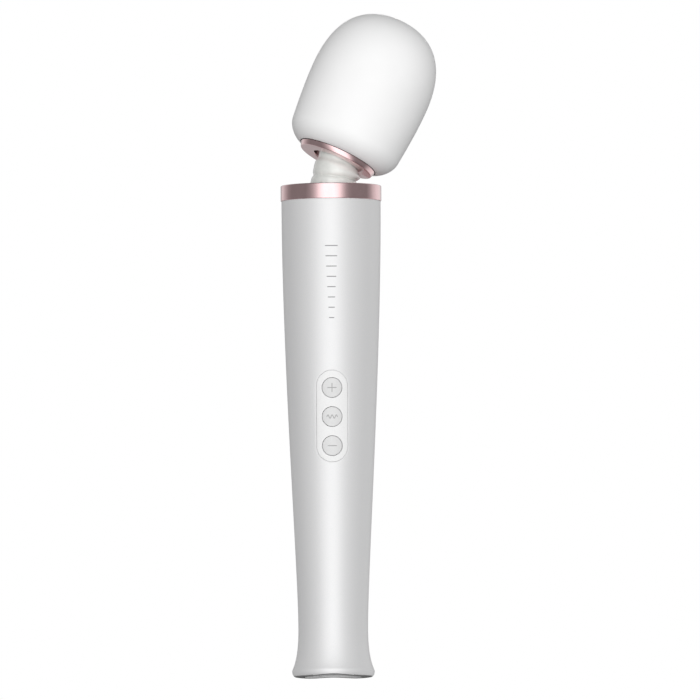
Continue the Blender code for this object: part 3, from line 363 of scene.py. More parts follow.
def new_material(name, values=()):
    """A material whose Principled shader has some values set, and the coordinates its patterns read."""
    material = bpy.data.materials.new(name)
    material.use_nodes = True
    tree = material.node_tree
    shader = tree.nodes["Principled BSDF"]
    for socket, value in dict(values).items():
        shader.inputs[socket].default_value = value
    place = node(tree, "ShaderNodeTexCoord").outputs["Object"]
    return material, tree, shader, place


def varied(tree, place, low, high, scale, detail=3.0, low_at=0.35, high_at=0.65):
    """A colour that wanders between two, in patches of a size given as a noise scale."""
    noise = node(tree, "ShaderNodeTexNoise", {"Vector": place, "Scale": scale, "Detail": detail})
    ramp = node(tree, "ShaderNodeValToRGB", {"Fac": noise.outputs["Fac"]})
    ramp.color_ramp.elements[0].position = low_at
    ramp.color_ramp.elements[1].position = high_at
    ramp.color_ramp.elements[0].color = low
    ramp.color_ramp.elements[1].color = high
    return ramp.outputs["Color"]


def grained(tree, shader, place, scale, strength, distance, detail=2.0):
    """Adds a fine moulded or cast grain to a shader as bump."""
    grain = node(tree, "ShaderNodeTexNoise", {"Vector": place, "Scale": scale, "Detail": detail})
    bump = node(
        tree,
        "ShaderNodeBump",
        {"Height": grain.outputs["Fac"], "Strength": strength, "Distance": distance},
    )
    tree.links.new(bump.outputs["Normal"], shader.inputs["Normal"])
    return grain


def tinted(tree, shader, place, low, high, scale, detail=3.0):
    """Sets a shader's base colour to one that wanders between two sRGB hex values."""
    colour = varied(tree, place, linear(low), linear(high), scale, detail)
    tree.links.new(colour, shader.inputs["Base Color"])


def dress(piece, material):
    """Gives every face of a piece one material."""
    piece.data.materials.clear()
    piece.data.materials.append(material)
    return piece


def pearl_abs():
    """Moulded ABS with fine mica in it: a soft broad gloss over white, with a faint sparkle 0.3 mm across."""
    material, tree, shader, place = new_material("pearl_abs", {"IOR": 1.53, "Metallic": 0.28})
    tinted(tree, shader, place, "DFE0E0", "E4E3E4", 3200, 2.0)
    flake = node(tree, "ShaderNodeTexVoronoi", {"Vector": place, "Scale": 3300})
    spread = node(
        tree,
        "ShaderNodeMapRange",
        {"Value": flake.outputs["Color"], "To Min": 0.40, "To Max": 0.48},
    )
    tree.links.new(spread.outputs["Result"], shader.inputs["Roughness"])
    grained(tree, shader, place, 900, 0.04, 0.05 * MM)
    return material


def eroded_abs_painted_shade():
    """The foot's underside: the same ABS off a coarsely eroded mould, dead matte, and greyer than the rest as
    painted shade under the foot.
    """
    values = {
        "Roughness": 0.9,
        "Specular IOR Level": 0.05,
    }
    material, tree, shader, place = new_material("eroded_abs_painted_shade", values)
    tinted(tree, shader, place, "969696", "A0A0A0", 1500)
    grained(tree, shader, place, 2500, 0.5, 0.05 * MM, detail=3.0)
    return material


def dress_underside(piece, material, below):
    """Gives the faces of a piece that face down below a height a second material."""
    piece.data.materials.append(material)
    for face in piece.data.polygons:
        if face.normal.z < -0.8 and face.center.z < below:
            face.material_index = 1


PEARL = pearl_abs()
ERODED_ABS_PAINTED_SHADE = eroded_abs_painted_shade()
front_shell = dress(half_shell("front_shell", 1, True), PEARL)
rear_shell = dress(half_shell("rear_shell", -1, False), PEARL)
for shell, cad_node in ((front_shell, "handle_front_shell"), (rear_shell, "handle_rear_shell")):
    # The downward faces of the foot get the eroded ABS, whose grey colour is painted shade.
    dress_underside(shell, ERODED_ABS_PAINTED_SHADE, FLOOR_THICKNESS)
    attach(shell, "handle")
    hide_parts(cad_node)

# A generic scale of fine printed bars runs down the front above the buttons. It is pad-printed in grey ink.
BAR_HEIGHTS = (178.5 * MM, 214.5 * MM)
BAR_COUNT = 8
BAR_LENGTHS = (2.2 * MM, 6.0 * MM)
BAR_WIDTH = 0.45 * MM
INK_PROUD = 0.02 * MM


def ribbon(shape, path, width, lay, ends=4):
    """Adds a flat strip of ink along (x, z) points, with round ends, laid on a curved surface."""
    half = width / 2
    directions = []
    for i in range(len(path)):
        before, after = Vector(path[max(i - 1, 0)]), Vector(path[min(i + 1, len(path) - 1)])
        directions.append((after - before).normalized())
    sections = []
    first, last = Vector(path[0]), Vector(path[-1])
    for i in range(ends):
        turn = math.pi / 2 * i / ends
        back = half * math.cos(turn)
        sections.append((first - directions[0] * back, directions[0], half * math.sin(turn)))
    sections += [(Vector(p), d, half) for p, d in zip(path, directions)]
    for i in reversed(range(ends)):
        turn = math.pi / 2 * i / ends
        back = half * math.cos(turn)
        sections.append((last + directions[-1] * back, directions[-1], half * math.sin(turn)))
    grid = []
    for middle, along, reach in sections:
        across = Vector((-along.y, along.x)) * max(reach, 0.01 * MM)
        left, right = middle - across, middle + across
        top = [lay(*left, -INK_PROUD), lay(*middle, -INK_PROUD), lay(*right, -INK_PROUD)]
        under = [lay(*right, 2 * INK_PROUD), lay(*left, 2 * INK_PROUD)]
        grid.append(top + under)
    start = len(shape.verts)
    grid_faces(shape, grid, around=True)
    shape.verts.ensure_lookup_table()
    made = shape.verts[start:]
    for end in (made[:5], made[-5:]):
        shape.faces.new(end)


def grey_ink(name, hex_colour):
    """Matte pad-printing ink, a little uneven in its cover."""
    material, tree, shader, place = new_material(name, {"Roughness": 0.55})
    base = linear(hex_colour)
    darker = (*[c * 0.88 for c in base[:3]], 1)
    tree.links.new(varied(tree, place, darker, base, 4000), shader.inputs["Base Color"])
    return material


bars = bmesh.new()
for i in range(BAR_COUNT):
    share = i / (BAR_COUNT - 1)
    height = BAR_HEIGHTS[0] + share * (BAR_HEIGHTS[1] - BAR_HEIGHTS[0])
    half = (BAR_LENGTHS[0] + share * (BAR_LENGTHS[1] - BAR_LENGTHS[0])) / 2
    ribbon(bars, [(x * half / 4, height) for x in range(-4, 5)], BAR_WIDTH, on_handle)
printed_scale = dress(finished("printed_scale", bars, merge=1e-7), grey_ink("grey_print", "8E8E8E"))
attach(printed_scale, "handle")

# The control panel is a racetrack plate of satin ABS set flush in the front shell. A lip behind the
# opening holds it, and three round holes guide the buttons.
PANEL_THICKNESS = 2.5 * MM
PANEL_BACK = 3.1 * MM
PANEL_LIP = 1.4 * MM
BUTTON_MIDDLES = {
    name: sum(corner.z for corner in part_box(f"button_{name}")) / 2 for name in ("plus", "mode", "minus")
}
BUTTON_RADIUS = 4.9 * MM
HOLE_RADIUS = 5.1 * MM
HOLE_ROUND = 0.12 * MM


def circle_loop(centre, radius, steps=48):
    return round_points(centre, radius, 0, 360, steps)[:-1]


def eased_rings(edge_round, sign, steps=4):
    """(growth, depth) steps of a rounded edge: sign 1 round a hole, -1 round a plate."""
    turns = [math.pi / 2 * i / steps for i in range(steps + 1)]
    return [(sign * edge_round * (1 - math.sin(t)), edge_round * (1 - math.cos(t))) for t in turns]


def panel_plate():
    shape = bmesh.new()
    spacing = 1.2 * MM
    steps_x, steps_z = 7, 20
    grid = [
        (i * spacing, PANEL_MIDDLE + j * spacing)
        for i in range(-steps_x, steps_x + 1)
        for j in range(-steps_z, steps_z + 1)
    ]

    def clear(point):
        inside = racetrack_distance(*point, *PANEL_SIZE, PANEL_MIDDLE) < -EDGE_ROUND - 0.5 * MM
        holes = [math.hypot(point[0], point[1] - z) for z in BUTTON_MIDDLES.values()]
        return inside and min(holes) > HOLE_RADIUS + HOLE_ROUND + 0.5 * MM

    kept = [point for point in grid if clear(point)]
    outside = [
        *eased_rings(EDGE_ROUND, -1),
        (0, PANEL_THICKNESS),
        (PANEL_LIP, PANEL_THICKNESS),
        (PANEL_LIP, PANEL_BACK),
    ]
    around = [*eased_rings(HOLE_ROUND, 1), (0, PANEL_BACK)]
    for ring, hole in ((0, 0), (-1, -1)):
        grow, depth = outside[ring]
        loops = [racetrack_loop(*PANEL_SIZE, PANEL_MIDDLE, grow)]
        loops += [circle_loop((0, z), HOLE_RADIUS + around[hole][0]) for z in BUTTON_MIDDLES.values()]
        plane_faces(shape, loops, kept, lambda x, z, d=depth: on_handle(x, z, d))
    rim = [
        [on_handle(x, z, d) for x, z in racetrack_loop(*PANEL_SIZE, PANEL_MIDDLE, g)]
        for g, d in outside
    ]
    grid_faces(shape, rim, around=True)
    for z in BUTTON_MIDDLES.values():
        wall = [[on_handle(*p, d) for p in circle_loop((0, z), HOLE_RADIUS + g)] for g, d in around]
        grid_faces(shape, wall, around=True)
    return finished("panel_plate", shape)


def satin_abs(name, light, dark, roughness):
    """Moulded ABS with a fine satin grain, about 0.2 mm."""
    material, tree, shader, place = new_material(name, {"Roughness": roughness, "IOR": 1.53})
    tinted(tree, shader, place, dark, light, 1500)
    grained(tree, shader, place, 5000, 0.12, 0.02 * MM, detail=1.0)
    return material


panel = dress(panel_plate(), satin_abs("panel_abs", "E6E6E6", "E2E2E2", 0.35))
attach(panel, "handle")
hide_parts("control_panel")

# Three round buttons of light grey ABS, slightly domed, each with a flange behind the panel, a stem that
# presses a switch, and a printed sign.
BUTTON_DOME = 0.35 * MM
BUTTON_SUNK = 0.1 * MM
BUTTON_ROUND = 0.15 * MM
SIGN_WIDTH = 0.42 * MM
SIGN_HALF = 2.1 * MM
STEM_RADIUS = 1.6 * MM


def button_face(x, z, middle, depth=0.0):
    """The point of a domed button's face at (x, z)."""
    from_middle = math.hypot(x, z - middle) / BUTTON_RADIUS
    proud = BUTTON_DOME * (1 - min(from_middle, 1) ** 2) - BUTTON_SUNK
    point = on_handle(x, z)
    point.y -= proud - depth
    return point


def button_piece(name, middle):
    low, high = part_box(f"button_{name}")
    flange = (high.x - low.x) / 2
    flange_back = on_handle(flange, middle - flange, PANEL_BACK + FIT_GAP).y + 1.0 * MM
    shape = bmesh.new()
    grid = []
    flat = BUTTON_RADIUS - BUTTON_ROUND
    for i in range(9):
        loop = circle_loop((0, middle), max(flat * i / 8, 1e-6))
        grid.append([button_face(x, z, middle) for x, z in loop])
    for grow, depth in eased_rings(BUTTON_ROUND, -1)[1:]:
        loop = circle_loop((0, middle), BUTTON_RADIUS + grow)
        grid.append([button_face(x, z, middle, depth) for x, z in loop])
    behind = [
        (BUTTON_RADIUS, flange_back - 0.7 * MM),
        (flange, flange_back - 0.7 * MM),
        (flange, flange_back),
        (STEM_RADIUS, flange_back),
        (STEM_RADIUS, high.y),
        (1e-6, high.y),
    ]
    for radius, y in behind:
        grid.append([Vector((x, y, z)) for x, z in circle_loop((0, middle), radius)])
    grid_faces(shape, grid, around=True)
    return finished(f"{name}_button", shape, merge=4e-6)


def sign_paths(name, middle):
    """The strokes of a button's sign as lists of (x, z) points."""
    across = [(SIGN_HALF * (i / 6 - 1), middle) for i in range(13)]
    if name == "minus":
        return [across]
    if name == "plus":
        gap = SIGN_WIDTH * 0.5
        upper = [(0, middle + gap + (SIGN_HALF - gap) * i / 5) for i in range(6)]
        return [across, upper, [(x, 2 * middle - z) for x, z in upper]]
    reach, rise, waves = 2.6 * MM, 0.85 * MM, 2.5
    steps = 50
    return [
        [
            (reach * (2 * i / steps - 1), middle + rise * math.sin(math.tau * waves * i / steps))
            for i in range(steps + 1)
        ]
    ]


BUTTON_ABS = satin_abs("button_abs", "D6D6D6", "D2D2D2", 0.32)
SIGN_INK = grey_ink("sign_print", "A6A6A6")
for name, middle in BUTTON_MIDDLES.items():
    button = dress(button_piece(name, middle), BUTTON_ABS)
    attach(button, f"{name}_key")
    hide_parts(f"button_{name}")
    strokes = bmesh.new()
    for path in sign_paths(name, middle):
        ribbon(strokes, path, SIGN_WIDTH, lambda x, z, d, m=middle: button_face(x, z, m, d))
    sign = dress(finished(f"{name}_sign", strokes, merge=1e-7), SIGN_INK)
    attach(sign, f"{name}_key")

# The collar is a turned ring with rose gold plating, its top edge rounded. A thin plate at its top closes
# in towards the neck.
COLLAR_LOW, COLLAR_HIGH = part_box("collar_ring")
COLLAR_RADIUS = COLLAR_HIGH.x
COLLAR_WALL = 1.5 * MM
COLLAR_PLATE = 2.0 * MM
COLLAR_BORE = 13.1 * MM
COLLAR_ROUND = 0.5 * MM


def turned(name, outline, place=None, sides=128, sharp=35.0, merge=4e-6):
    """A solid turned about Z from a closed loop of (radius, height), or one that ends on the axis."""
    shape = bmesh.new()
    place = place or Matrix.Identity(4)
    closed = outline[0][0] > 1e-5
    loop = [*outline, outline[0]] if closed else outline
    angles = [math.tau * i / sides for i in range(sides)]
    grid = []
    for radius, height in loop:
        radius = max(radius, 1e-7)
        grid.append([place @ Vector((radius * math.cos(a), radius * math.sin(a), height)) for a in angles])
    grid_faces(shape, grid, around=True)
    return finished(name, shape, sharp, merge)


def rose_gold():
    """Rose gold plating over polished metal: mirror-like, with a faint, uneven haze."""
    material, tree, shader, place = new_material("rose_gold_plating", {"Metallic": 1.0})
    tinted(tree, shader, place, "E6C6C7", "EAC9CB", 250)
    haze = node(tree, "ShaderNodeTexNoise", {"Vector": place, "Scale": 400, "Detail": 3.0})
    spread = node(
        tree,
        "ShaderNodeMapRange",
        {"Value": haze.outputs["Fac"], "To Min": 0.07, "To Max": 0.11},
    )
    tree.links.new(spread.outputs["Result"], shader.inputs["Roughness"])
    return material


ROSE_GOLD = rose_gold()
low, high = COLLAR_LOW.z, COLLAR_HIGH.z
inside = COLLAR_RADIUS - COLLAR_WALL
collar_outline = [
    (inside, low),
    *round_points((COLLAR_RADIUS - 0.25 * MM, low + 0.25 * MM), 0.25 * MM, -90, 0, 4),
    *round_points((COLLAR_RADIUS - COLLAR_ROUND, high - COLLAR_ROUND), COLLAR_ROUND, 0, 90, 10),
    *round_points((COLLAR_BORE + EDGE_ROUND, high - EDGE_ROUND), EDGE_ROUND, 90, 180, 4),
    (COLLAR_BORE, high - COLLAR_PLATE),
    (inside, high - COLLAR_PLATE),
]
collar = dress(turned("collar", collar_outline), ROSE_GOLD)
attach(collar, "handle")
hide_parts("collar_ring")

# The neck boot is a moulded sleeve of grey-white rubber with two soft bulges. It curves along the neck's
# lean, and is pressed towards the inside of the bend. It is made as two halves that meet in its waist.
PIVOT = Vector(frame["joints"][0]["pos_m"])
HEAD_AXIS = Vector(next(j["axis"] for j in frame["joints"] if j["name"] == "weight_spin")).normalized()
NOD_AXIS = Vector(next(j["axis"] for j in frame["joints"] if j["name"] == "neck_nod")).normalized()
UP = Vector((0, 0, 1))
LEAN = HEAD_AXIS.angle(UP)
LEAN_WAY = Vector((HEAD_AXIS.x, HEAD_AXIS.y, 0)).normalized()
BEND_REACH = 9.0 * MM
BOOT_WALL = 2.0 * MM
BOOT_WAIST = -2.8 * MM
BOOT_SIDE = (  # radius, distance from the pivot, push towards the inside of the bend
    (14.6 * MM, -11.1 * MM, 0.0),
    (14.6 * MM, -9.4 * MM, 0.0),
    (11.2 * MM, -9.0 * MM, 0.2 * MM),
    (11.1 * MM, -8.0 * MM, 0.7 * MM),
    (11.6 * MM, -6.2 * MM, 1.2 * MM),
    (11.3 * MM, -3.9 * MM, 1.4 * MM),
    (10.5 * MM, BOOT_WAIST, 1.4 * MM),
    (11.5 * MM, -1.5 * MM, 1.8 * MM),
    (12.0 * MM, 0.6 * MM, 2.2 * MM),
    (11.5 * MM, 3.0 * MM, 1.7 * MM),
    (10.6 * MM, 5.0 * MM, 1.5 * MM),
    (10.5 * MM, 7.0 * MM, 0.9 * MM),
    (11.0 * MM, 8.9 * MM, 0.0),
    (14.4 * MM, 9.0 * MM, 0.0),
    (14.4 * MM, 10.8 * MM, 0.0),
)


def neck_place(height):
    """The place and turn of the neck's section at a distance from the pivot along the neck."""
    share = min(max((height / BEND_REACH + 1) / 2, 0), 1)
    turn = LEAN * share
    radius = BEND_REACH / math.tan(LEAN / 2)
    if share == 0:
        centre = Vector((0, 0, height))
    elif share == 1:
        centre = HEAD_AXIS * height
    else:
        centre = LEAN_WAY * radius * (1 - math.cos(turn))
        centre.z = -BEND_REACH + radius * math.sin(turn)
    return Matrix.Translation(PIVOT + centre) @ Matrix.Rotation(turn, 4, UP.cross(LEAN_WAY))


def smooth_rows(table, first, last, steps=6):
    """A smooth run of rows through the entries of a table from one to another."""
    rows = [Vector(row) for row in table]
    found = []
    for i in range(first, last):
        before, start, end, after = rows[max(i - 1, first)], rows[i], rows[i + 1], rows[min(i + 2, last)]
        for k in range(steps):
            t = k / steps
            leave, arrive = start + (end - before) / 6, end - (after - start) / 6
            s = 1 - t
            found.append(s**3 * start + 3 * s * s * t * leave + 3 * s * t * t * arrive + t**3 * end)
    return [*found, rows[last]]


LOWER_FLANGE = BOOT_SIDE[:2]
LOWER_SLEEVE = (2, 6)  # entries of the table
UPPER_SLEEVE = (6, 12)
UPPER_FLANGE = BOOT_SIDE[13:]
BOOT_SIDES = 112


def boot_half(name, sleeve, flange):
    """A half of the boot between two entries of its table, with the flat flange at its outer end."""
    first, last = sleeve
    flange_first = sleeve == LOWER_SLEEVE
    outside = smooth_rows(BOOT_SIDE, first, last)
    inside = [Vector((row[0] - BOOT_WALL, row[1], row[2])) for row in reversed(outside)]
    edge = [Vector(row) for row in flange]
    flange_end = edge[0] if flange_first else edge[-1]
    bore = Vector((outside[0][0] - BOOT_WALL, flange_end[1], 0.0))
    loop = [*edge, *outside, *inside, bore] if flange_first else [*outside, *edge, bore, *inside]
    shape = bmesh.new()
    grid = []
    for radius, height, push in [*loop, loop[0]]:
        place = neck_place(height)
        ring = []
        for i in range(BOOT_SIDES):
            turn = math.tau * i / BOOT_SIDES
            section = Vector((radius * math.cos(turn), radius * math.sin(turn), 0))
            ring.append(place @ (section + LEAN_WAY * push))
        grid.append(ring)
    grid_faces(shape, grid, around=True)
    return finished(name, shape, 50.0)


def boot_rubber():
    """Moulded thermoplastic rubber, greenish grey-white, with a satin skin and a very fine grain."""
    values = {
        "Roughness": 0.28,
        "IOR": 1.5,
        "Specular IOR Level": 1.0,
        "Coat Weight": 1.0,
        "Coat Roughness": 0.18,
    }
    material, tree, shader, place = new_material("neck_rubber", values)
    tinted(tree, shader, place, "D9DCD8", "DEE1DD", 500)
    grained(tree, shader, place, 2500, 0.2, 0.04 * MM)
    return material


BOOT_RUBBER = boot_rubber()
lower_boot = dress(boot_half("boot_lower", LOWER_SLEEVE, LOWER_FLANGE), BOOT_RUBBER)
upper_boot = dress(boot_half("boot_upper", UPPER_SLEEVE, UPPER_FLANGE), BOOT_RUBBER)
waist = neck_place(BOOT_WAIST)
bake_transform(lower_boot)
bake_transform(upper_boot)
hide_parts("neck_boot")

# The head ring is a turned, rose gold plated ring that the white head sits on. Its lower edge is well
# rounded, and its opening is countersunk round the boot.
head_turn = Matrix((-NOD_AXIS, HEAD_AXIS.cross(-NOD_AXIS), HEAD_AXIS)).transposed()
HEAD = Matrix.Translation(PIVOT) @ head_turn.to_4x4()
RING_LOW, RING_HIGH = 5.9 * MM, 8.6 * MM
RING_RADIUS = 20.2 * MM
RING_BORE = 12.0 * MM
RING_CONE = 0.9 * MM
ring_outline = [
    *round_points((RING_BORE + 0.5 * MM, RING_LOW + 0.5 * MM), 0.5 * MM, 180, 270, 5),
    *round_points((RING_RADIUS - RING_CONE - 0.4 * MM, RING_LOW + 0.4 * MM), 0.4 * MM, -90, -20, 6),
    *round_points((RING_RADIUS - 0.4 * MM, RING_HIGH - 0.4 * MM), 0.4 * MM, 0, 90, 5),
    (RING_BORE, RING_HIGH),
]
head_ring = dress(turned("neck_side_ring", ring_outline, HEAD), ROSE_GOLD)
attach(head_ring, "head")
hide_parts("head_ring")

# The head is a soft cover of white silicone, 2.6 mm thick, moulded in one piece and stretched over a stiff
# core. It has a matte, finely blasted skin.
COVER_OPENING = RING_RADIUS + 0.4 * MM
COVER_LOW = RING_HIGH - 0.1 * MM
SHOULDER = (28.8 * MM, 17.5 * MM)
WIDEST = (30.8 * MM, 47.5 * MM)
CROWN = 84.4 * MM
COVER_WALL = 2.6 * MM
wide, tall = SHOULDER[0] - COVER_OPENING, SHOULDER[1] - COVER_LOW
cover_side = curve_points(
    (COVER_OPENING, COVER_LOW),
    (COVER_OPENING + 0.40 * wide, COVER_LOW + 0.09 * tall),
    (COVER_OPENING + 0.92 * wide, COVER_LOW + 0.50 * tall),
    SHOULDER,
    16,
)
wide, tall = WIDEST[0] - SHOULDER[0], WIDEST[1] - SHOULDER[1]
cover_side += curve_points(
    SHOULDER,
    (SHOULDER[0] + 0.38 * wide, SHOULDER[1] + 0.25 * tall),
    (WIDEST[0], SHOULDER[1] + 0.62 * tall),
    WIDEST,
    20,
)[1:]
tall = CROWN - WIDEST[1]
cover_side += curve_points(
    WIDEST,
    (WIDEST[0], WIDEST[1] + 0.57 * tall),
    (WIDEST[0] * 0.74, CROWN),
    (0, CROWN),
    40,
)[1:]


def inset(outline, depth):
    """A rising outline moved inwards square to itself."""
    moved = []
    for i, (radius, height) in enumerate(outline):
        before, after = outline[max(i - 1, 0)], outline[min(i + 1, len(outline) - 1)]
        along = Vector((after[0] - before[0], after[1] - before[1])).normalized()
        moved.append((max(radius - depth * along.y, 0), height + depth * along.x))
    return moved


def silicone():
    """Platinum-cured silicone: white and matte, with a finely blasted grain and a weak, broad gloss."""
    values = {
        "Roughness": 0.5,
        "IOR": 1.42,
        "Specular IOR Level": 0.25,
    }
    material, tree, shader, place = new_material("head_silicone", values)
    tinted(tree, shader, place, "F0F0F0", "F2F2F2", 60)
    grained(tree, shader, place, 3000, 0.15, 0.03 * MM)
    return material


lip_top = COVER_LOW + COVER_WALL
lip = [(COVER_OPENING + EDGE_ROUND, lip_top), (COVER_OPENING, lip_top - EDGE_ROUND)]
lining = [point for point in inset(cover_side, COVER_WALL) if point[1] > lip_top + EDGE_ROUND]
cover_outline = [*lining[::-1], *lip, *cover_side]
cover = dress(turned("silicone_head", cover_outline, HEAD), silicone())
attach(cover, "head")
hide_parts("head_cover")

# The foot is closed by a cap of the same pearl ABS, held by two steel screws, with the charge jack in its
# middle. Cap, screws and jack keep their CAD shapes.


def finish_nodes(material, *names):
    """Gives CAD nodes a material in place of their plain one."""
    for name in names:
        dress(frame["nodes"][name], material)


def moulded(name, light, dark, roughness, scale=1500, strength=0.25):
    """A moulded plastic or rubber, a little uneven in colour, with a grain of 0.7 mm unless given finer."""
    material, tree, shader, place = new_material(name, {"Roughness": roughness})
    tinted(tree, shader, place, dark, light, 400)
    grained(tree, shader, place, scale, strength, 0.05 * MM)
    return material


def turned_steel():
    """Machined and zinc-plated steel: tool marks 0.2 mm apart across Z, bright, with a slight haze."""
    material, tree, shader, place = new_material("machined_steel", {"Metallic": 1.0})
    tinted(tree, shader, place, "B4B5B8", "C9CACC", 300)
    stretched = node(tree, "ShaderNodeMapping", {"Vector": place, "Scale": (0.04, 0.04, 1.0)})
    marks = grained(tree, shader, stretched.outputs["Vector"], 5000, 0.2, 0.02 * MM)
    spread = node(
        tree,
        "ShaderNodeMapRange",
        {"Value": marks.outputs["Fac"], "To Min": 0.24, "To Max": 0.38},
    )
    tree.links.new(spread.outputs["Result"], shader.inputs["Roughness"])
    return material


TURNED_STEEL = turned_steel()
BLACK_EPOXY = moulded("chip_epoxy", "242426", "1B1B1D", 0.55, 4000)
finish_nodes(PEARL, "base_cap")
finish_nodes(TURNED_STEEL, "base_screw_left", "base_screw_right")
finish_nodes(BLACK_EPOXY, "charge_jack")

# Inside the handle a chassis of dark ABS carries two shrink-sleeved lithium cells and the control board,
# which has a switch under each button, two chips, two screws, and PVC-insulated leads.


def solder_mask():
    """Glass-epoxy board under green lacquer, with copper tracks 0.8 mm apart showing faintly through it."""
    material, tree, shader, place = new_material("board_laminate", {"Roughness": 0.28})
    tracks = node(
        tree,
        "ShaderNodeTexBrick",
        {
            "Vector": place,
            "Color1": linear("1F6B3C"),
            "Color2": linear("237242"),
            "Mortar": linear("2F8A50"),
            "Scale": 320,
            "Mortar Size": 0.04,
        },
    )
    tree.links.new(tracks.outputs["Color"], shader.inputs["Base Color"])
    grained(tree, shader, place, 1200, 0.1, 0.02 * MM)
    return material


def shrink_sleeve():
    """Thin PVC sleeve shrunk on a steel can: glossy, teal, with soft wrinkles about 4 mm apart."""
    material, tree, shader, place = new_material("cell_sleeve", {"Roughness": 0.3})
    tinted(tree, shader, place, "4F918B", "5C9F98", 120)
    stretched = node(tree, "ShaderNodeMapping", {"Vector": place, "Scale": (1.0, 1.0, 0.2)})
    grained(tree, shader, stretched.outputs["Vector"], 250, 0.35, 0.15 * MM)
    return material


DARK_ABS = moulded("moulded_inner_abs", "3A3B3E", "323336", 0.5)
finish_nodes(DARK_ABS, "chassis")
finish_nodes(shrink_sleeve(), "battery_cell_lower", "battery_cell_upper")
finish_nodes(solder_mask(), "control_board")
finish_nodes(BLACK_EPOXY, "switch_plus", "switch_mode", "switch_minus", "control_chip", "charge_chip")
finish_nodes(TURNED_STEEL, "board_screw_lower", "board_screw_upper")
finish_nodes(moulded("red_lead_pvc", "B3261F", "A8201A", 0.4), "charge_lead_red", "motor_lead_red")
finish_nodes(moulded("black_lead_pvc", "222223", "1A1A1B", 0.4), "charge_lead_black", "motor_lead_black")

# The motor is a steel can in two rubber cushions, with ferrite magnets, an enamelled copper winding, a
# copper commutator, a plastic end cap and a ground shaft.


def ferrite():
    """Sintered ferrite: near black and dull, with grains drawn 0.6 mm across so that they show."""
    material, tree, shader, place = new_material("ferrite")
    grains = node(tree, "ShaderNodeTexVoronoi", {"Vector": place, "Scale": 1600})
    ramp = node(
        tree,
        "ShaderNodeMapRange",
        {"Value": grains.outputs["Distance"], "To Min": 0.4, "To Max": 0.6},
    )
    tinted(tree, shader, place, "2B2B2E", "343437", 900)
    tree.links.new(ramp.outputs["Result"], shader.inputs["Roughness"])
    return material


def enamelled_copper():
    """Copper wire in clear enamel, its turns drawn 0.8 mm apart so that they show."""
    material, tree, shader, place = new_material("wound_copper", {"Metallic": 1.0, "Roughness": 0.3})
    turns = node(
        tree,
        "ShaderNodeTexWave",
        {"Vector": place, "Scale": 2500 / math.tau, "Distortion": 0.4},
        bands_direction="Z",
    )
    bump = node(
        tree,
        "ShaderNodeBump",
        {"Height": turns.outputs["Fac"], "Strength": 0.6, "Distance": 0.1 * MM},
    )
    tree.links.new(bump.outputs["Normal"], shader.inputs["Normal"])
    tinted(tree, shader, place, "B8653A", "C97A48", 800)
    return material


finish_nodes(TURNED_STEEL, "motor_case", "motor_shaft")
finish_nodes(ferrite(), "motor_magnet_left", "motor_magnet_right")
finish_nodes(enamelled_copper(), "motor_armature", "motor_commutator")
finish_nodes(DARK_ABS, "motor_end_cap")
finish_nodes(moulded("cushion_rubber", "38383A", "303032", 0.8), "motor_cushion_lower", "motor_cushion_upper")

# The neck's inner parts: a base screwed into the handle's top, a stiffening ring in the boot's waist, and a
# clamp plate that holds the boot in the head.
finish_nodes(DARK_ABS, "neck_base", "neck_ring")
finish_nodes(TURNED_STEEL, "boot_clamp", "neck_screw_left", "neck_screw_right")

# The drive coupling is a steel coil spring over a flexible core, gripped by a hub at each end. It is made as
# two halves that meet at the pivot, so that each turns about its own straight line while the neck bends.
COIL_RADIUS = 2.2 * MM  # at the hub
COIL_END_RADIUS = 1.4 * MM  # at the pivot
COIL_WIRE = 0.4 * MM  # radius
COIL_PITCH = 1.0 * MM
COIL_SHORT = 5.2 * MM  # each coil stops this far from the pivot
CORE_RADIUS = 0.8 * MM
CORE_BALL = 1.1 * MM
HUB_GRIP = 1.5 * MM  # length of coil inside each hub
COIL_STEPS = 28  # to a turn
WIRE_SIDES = 12


def coil_tree():
    """A coil spring by geometry nodes: a spiral swept with a round wire."""
    tree = bpy.data.node_groups.new("coil_spring", "GeometryNodeTree")
    sizes = {
        "Turns": 8.0,
        "Start Radius": COIL_RADIUS,
        "End Radius": COIL_END_RADIUS,
        "Wire Radius": COIL_WIRE,
        "Length": 10 * MM,
    }
    for name, value in sizes.items():
        socket = tree.interface.new_socket(name, in_out="INPUT", socket_type="NodeSocketFloat")
        socket.default_value = value
    tree.interface.new_socket("Material", in_out="INPUT", socket_type="NodeSocketMaterial")
    tree.interface.new_socket("Geometry", in_out="OUTPUT", socket_type="NodeSocketGeometry")
    given = node(tree, "NodeGroupInput").outputs
    spiral = node(
        tree,
        "GeometryNodeCurveSpiral",
        {
            "Resolution": COIL_STEPS,
            "Rotations": given["Turns"],
            "Start Radius": given["Start Radius"],
            "End Radius": given["End Radius"],
            "Height": given["Length"],
        },
    )
    wire = node(
        tree, "GeometryNodeCurvePrimitiveCircle", {"Resolution": WIRE_SIDES, "Radius": given["Wire Radius"]}
    )
    swept = node(
        tree,
        "GeometryNodeCurveToMesh",
        {"Curve": spiral.outputs["Curve"], "Profile Curve": wire.outputs["Curve"], "Fill Caps": True},
    )
    real = node(tree, "GeometryNodeRealizeInstances", {"Geometry": swept.outputs["Mesh"]})
    coated = node(
        tree,
        "GeometryNodeSetMaterial",
        {"Geometry": real.outputs["Geometry"], "Material": given["Material"]},
    )
    node(tree, "NodeGroupOutput", {"Geometry": coated.outputs["Geometry"]})
    return tree


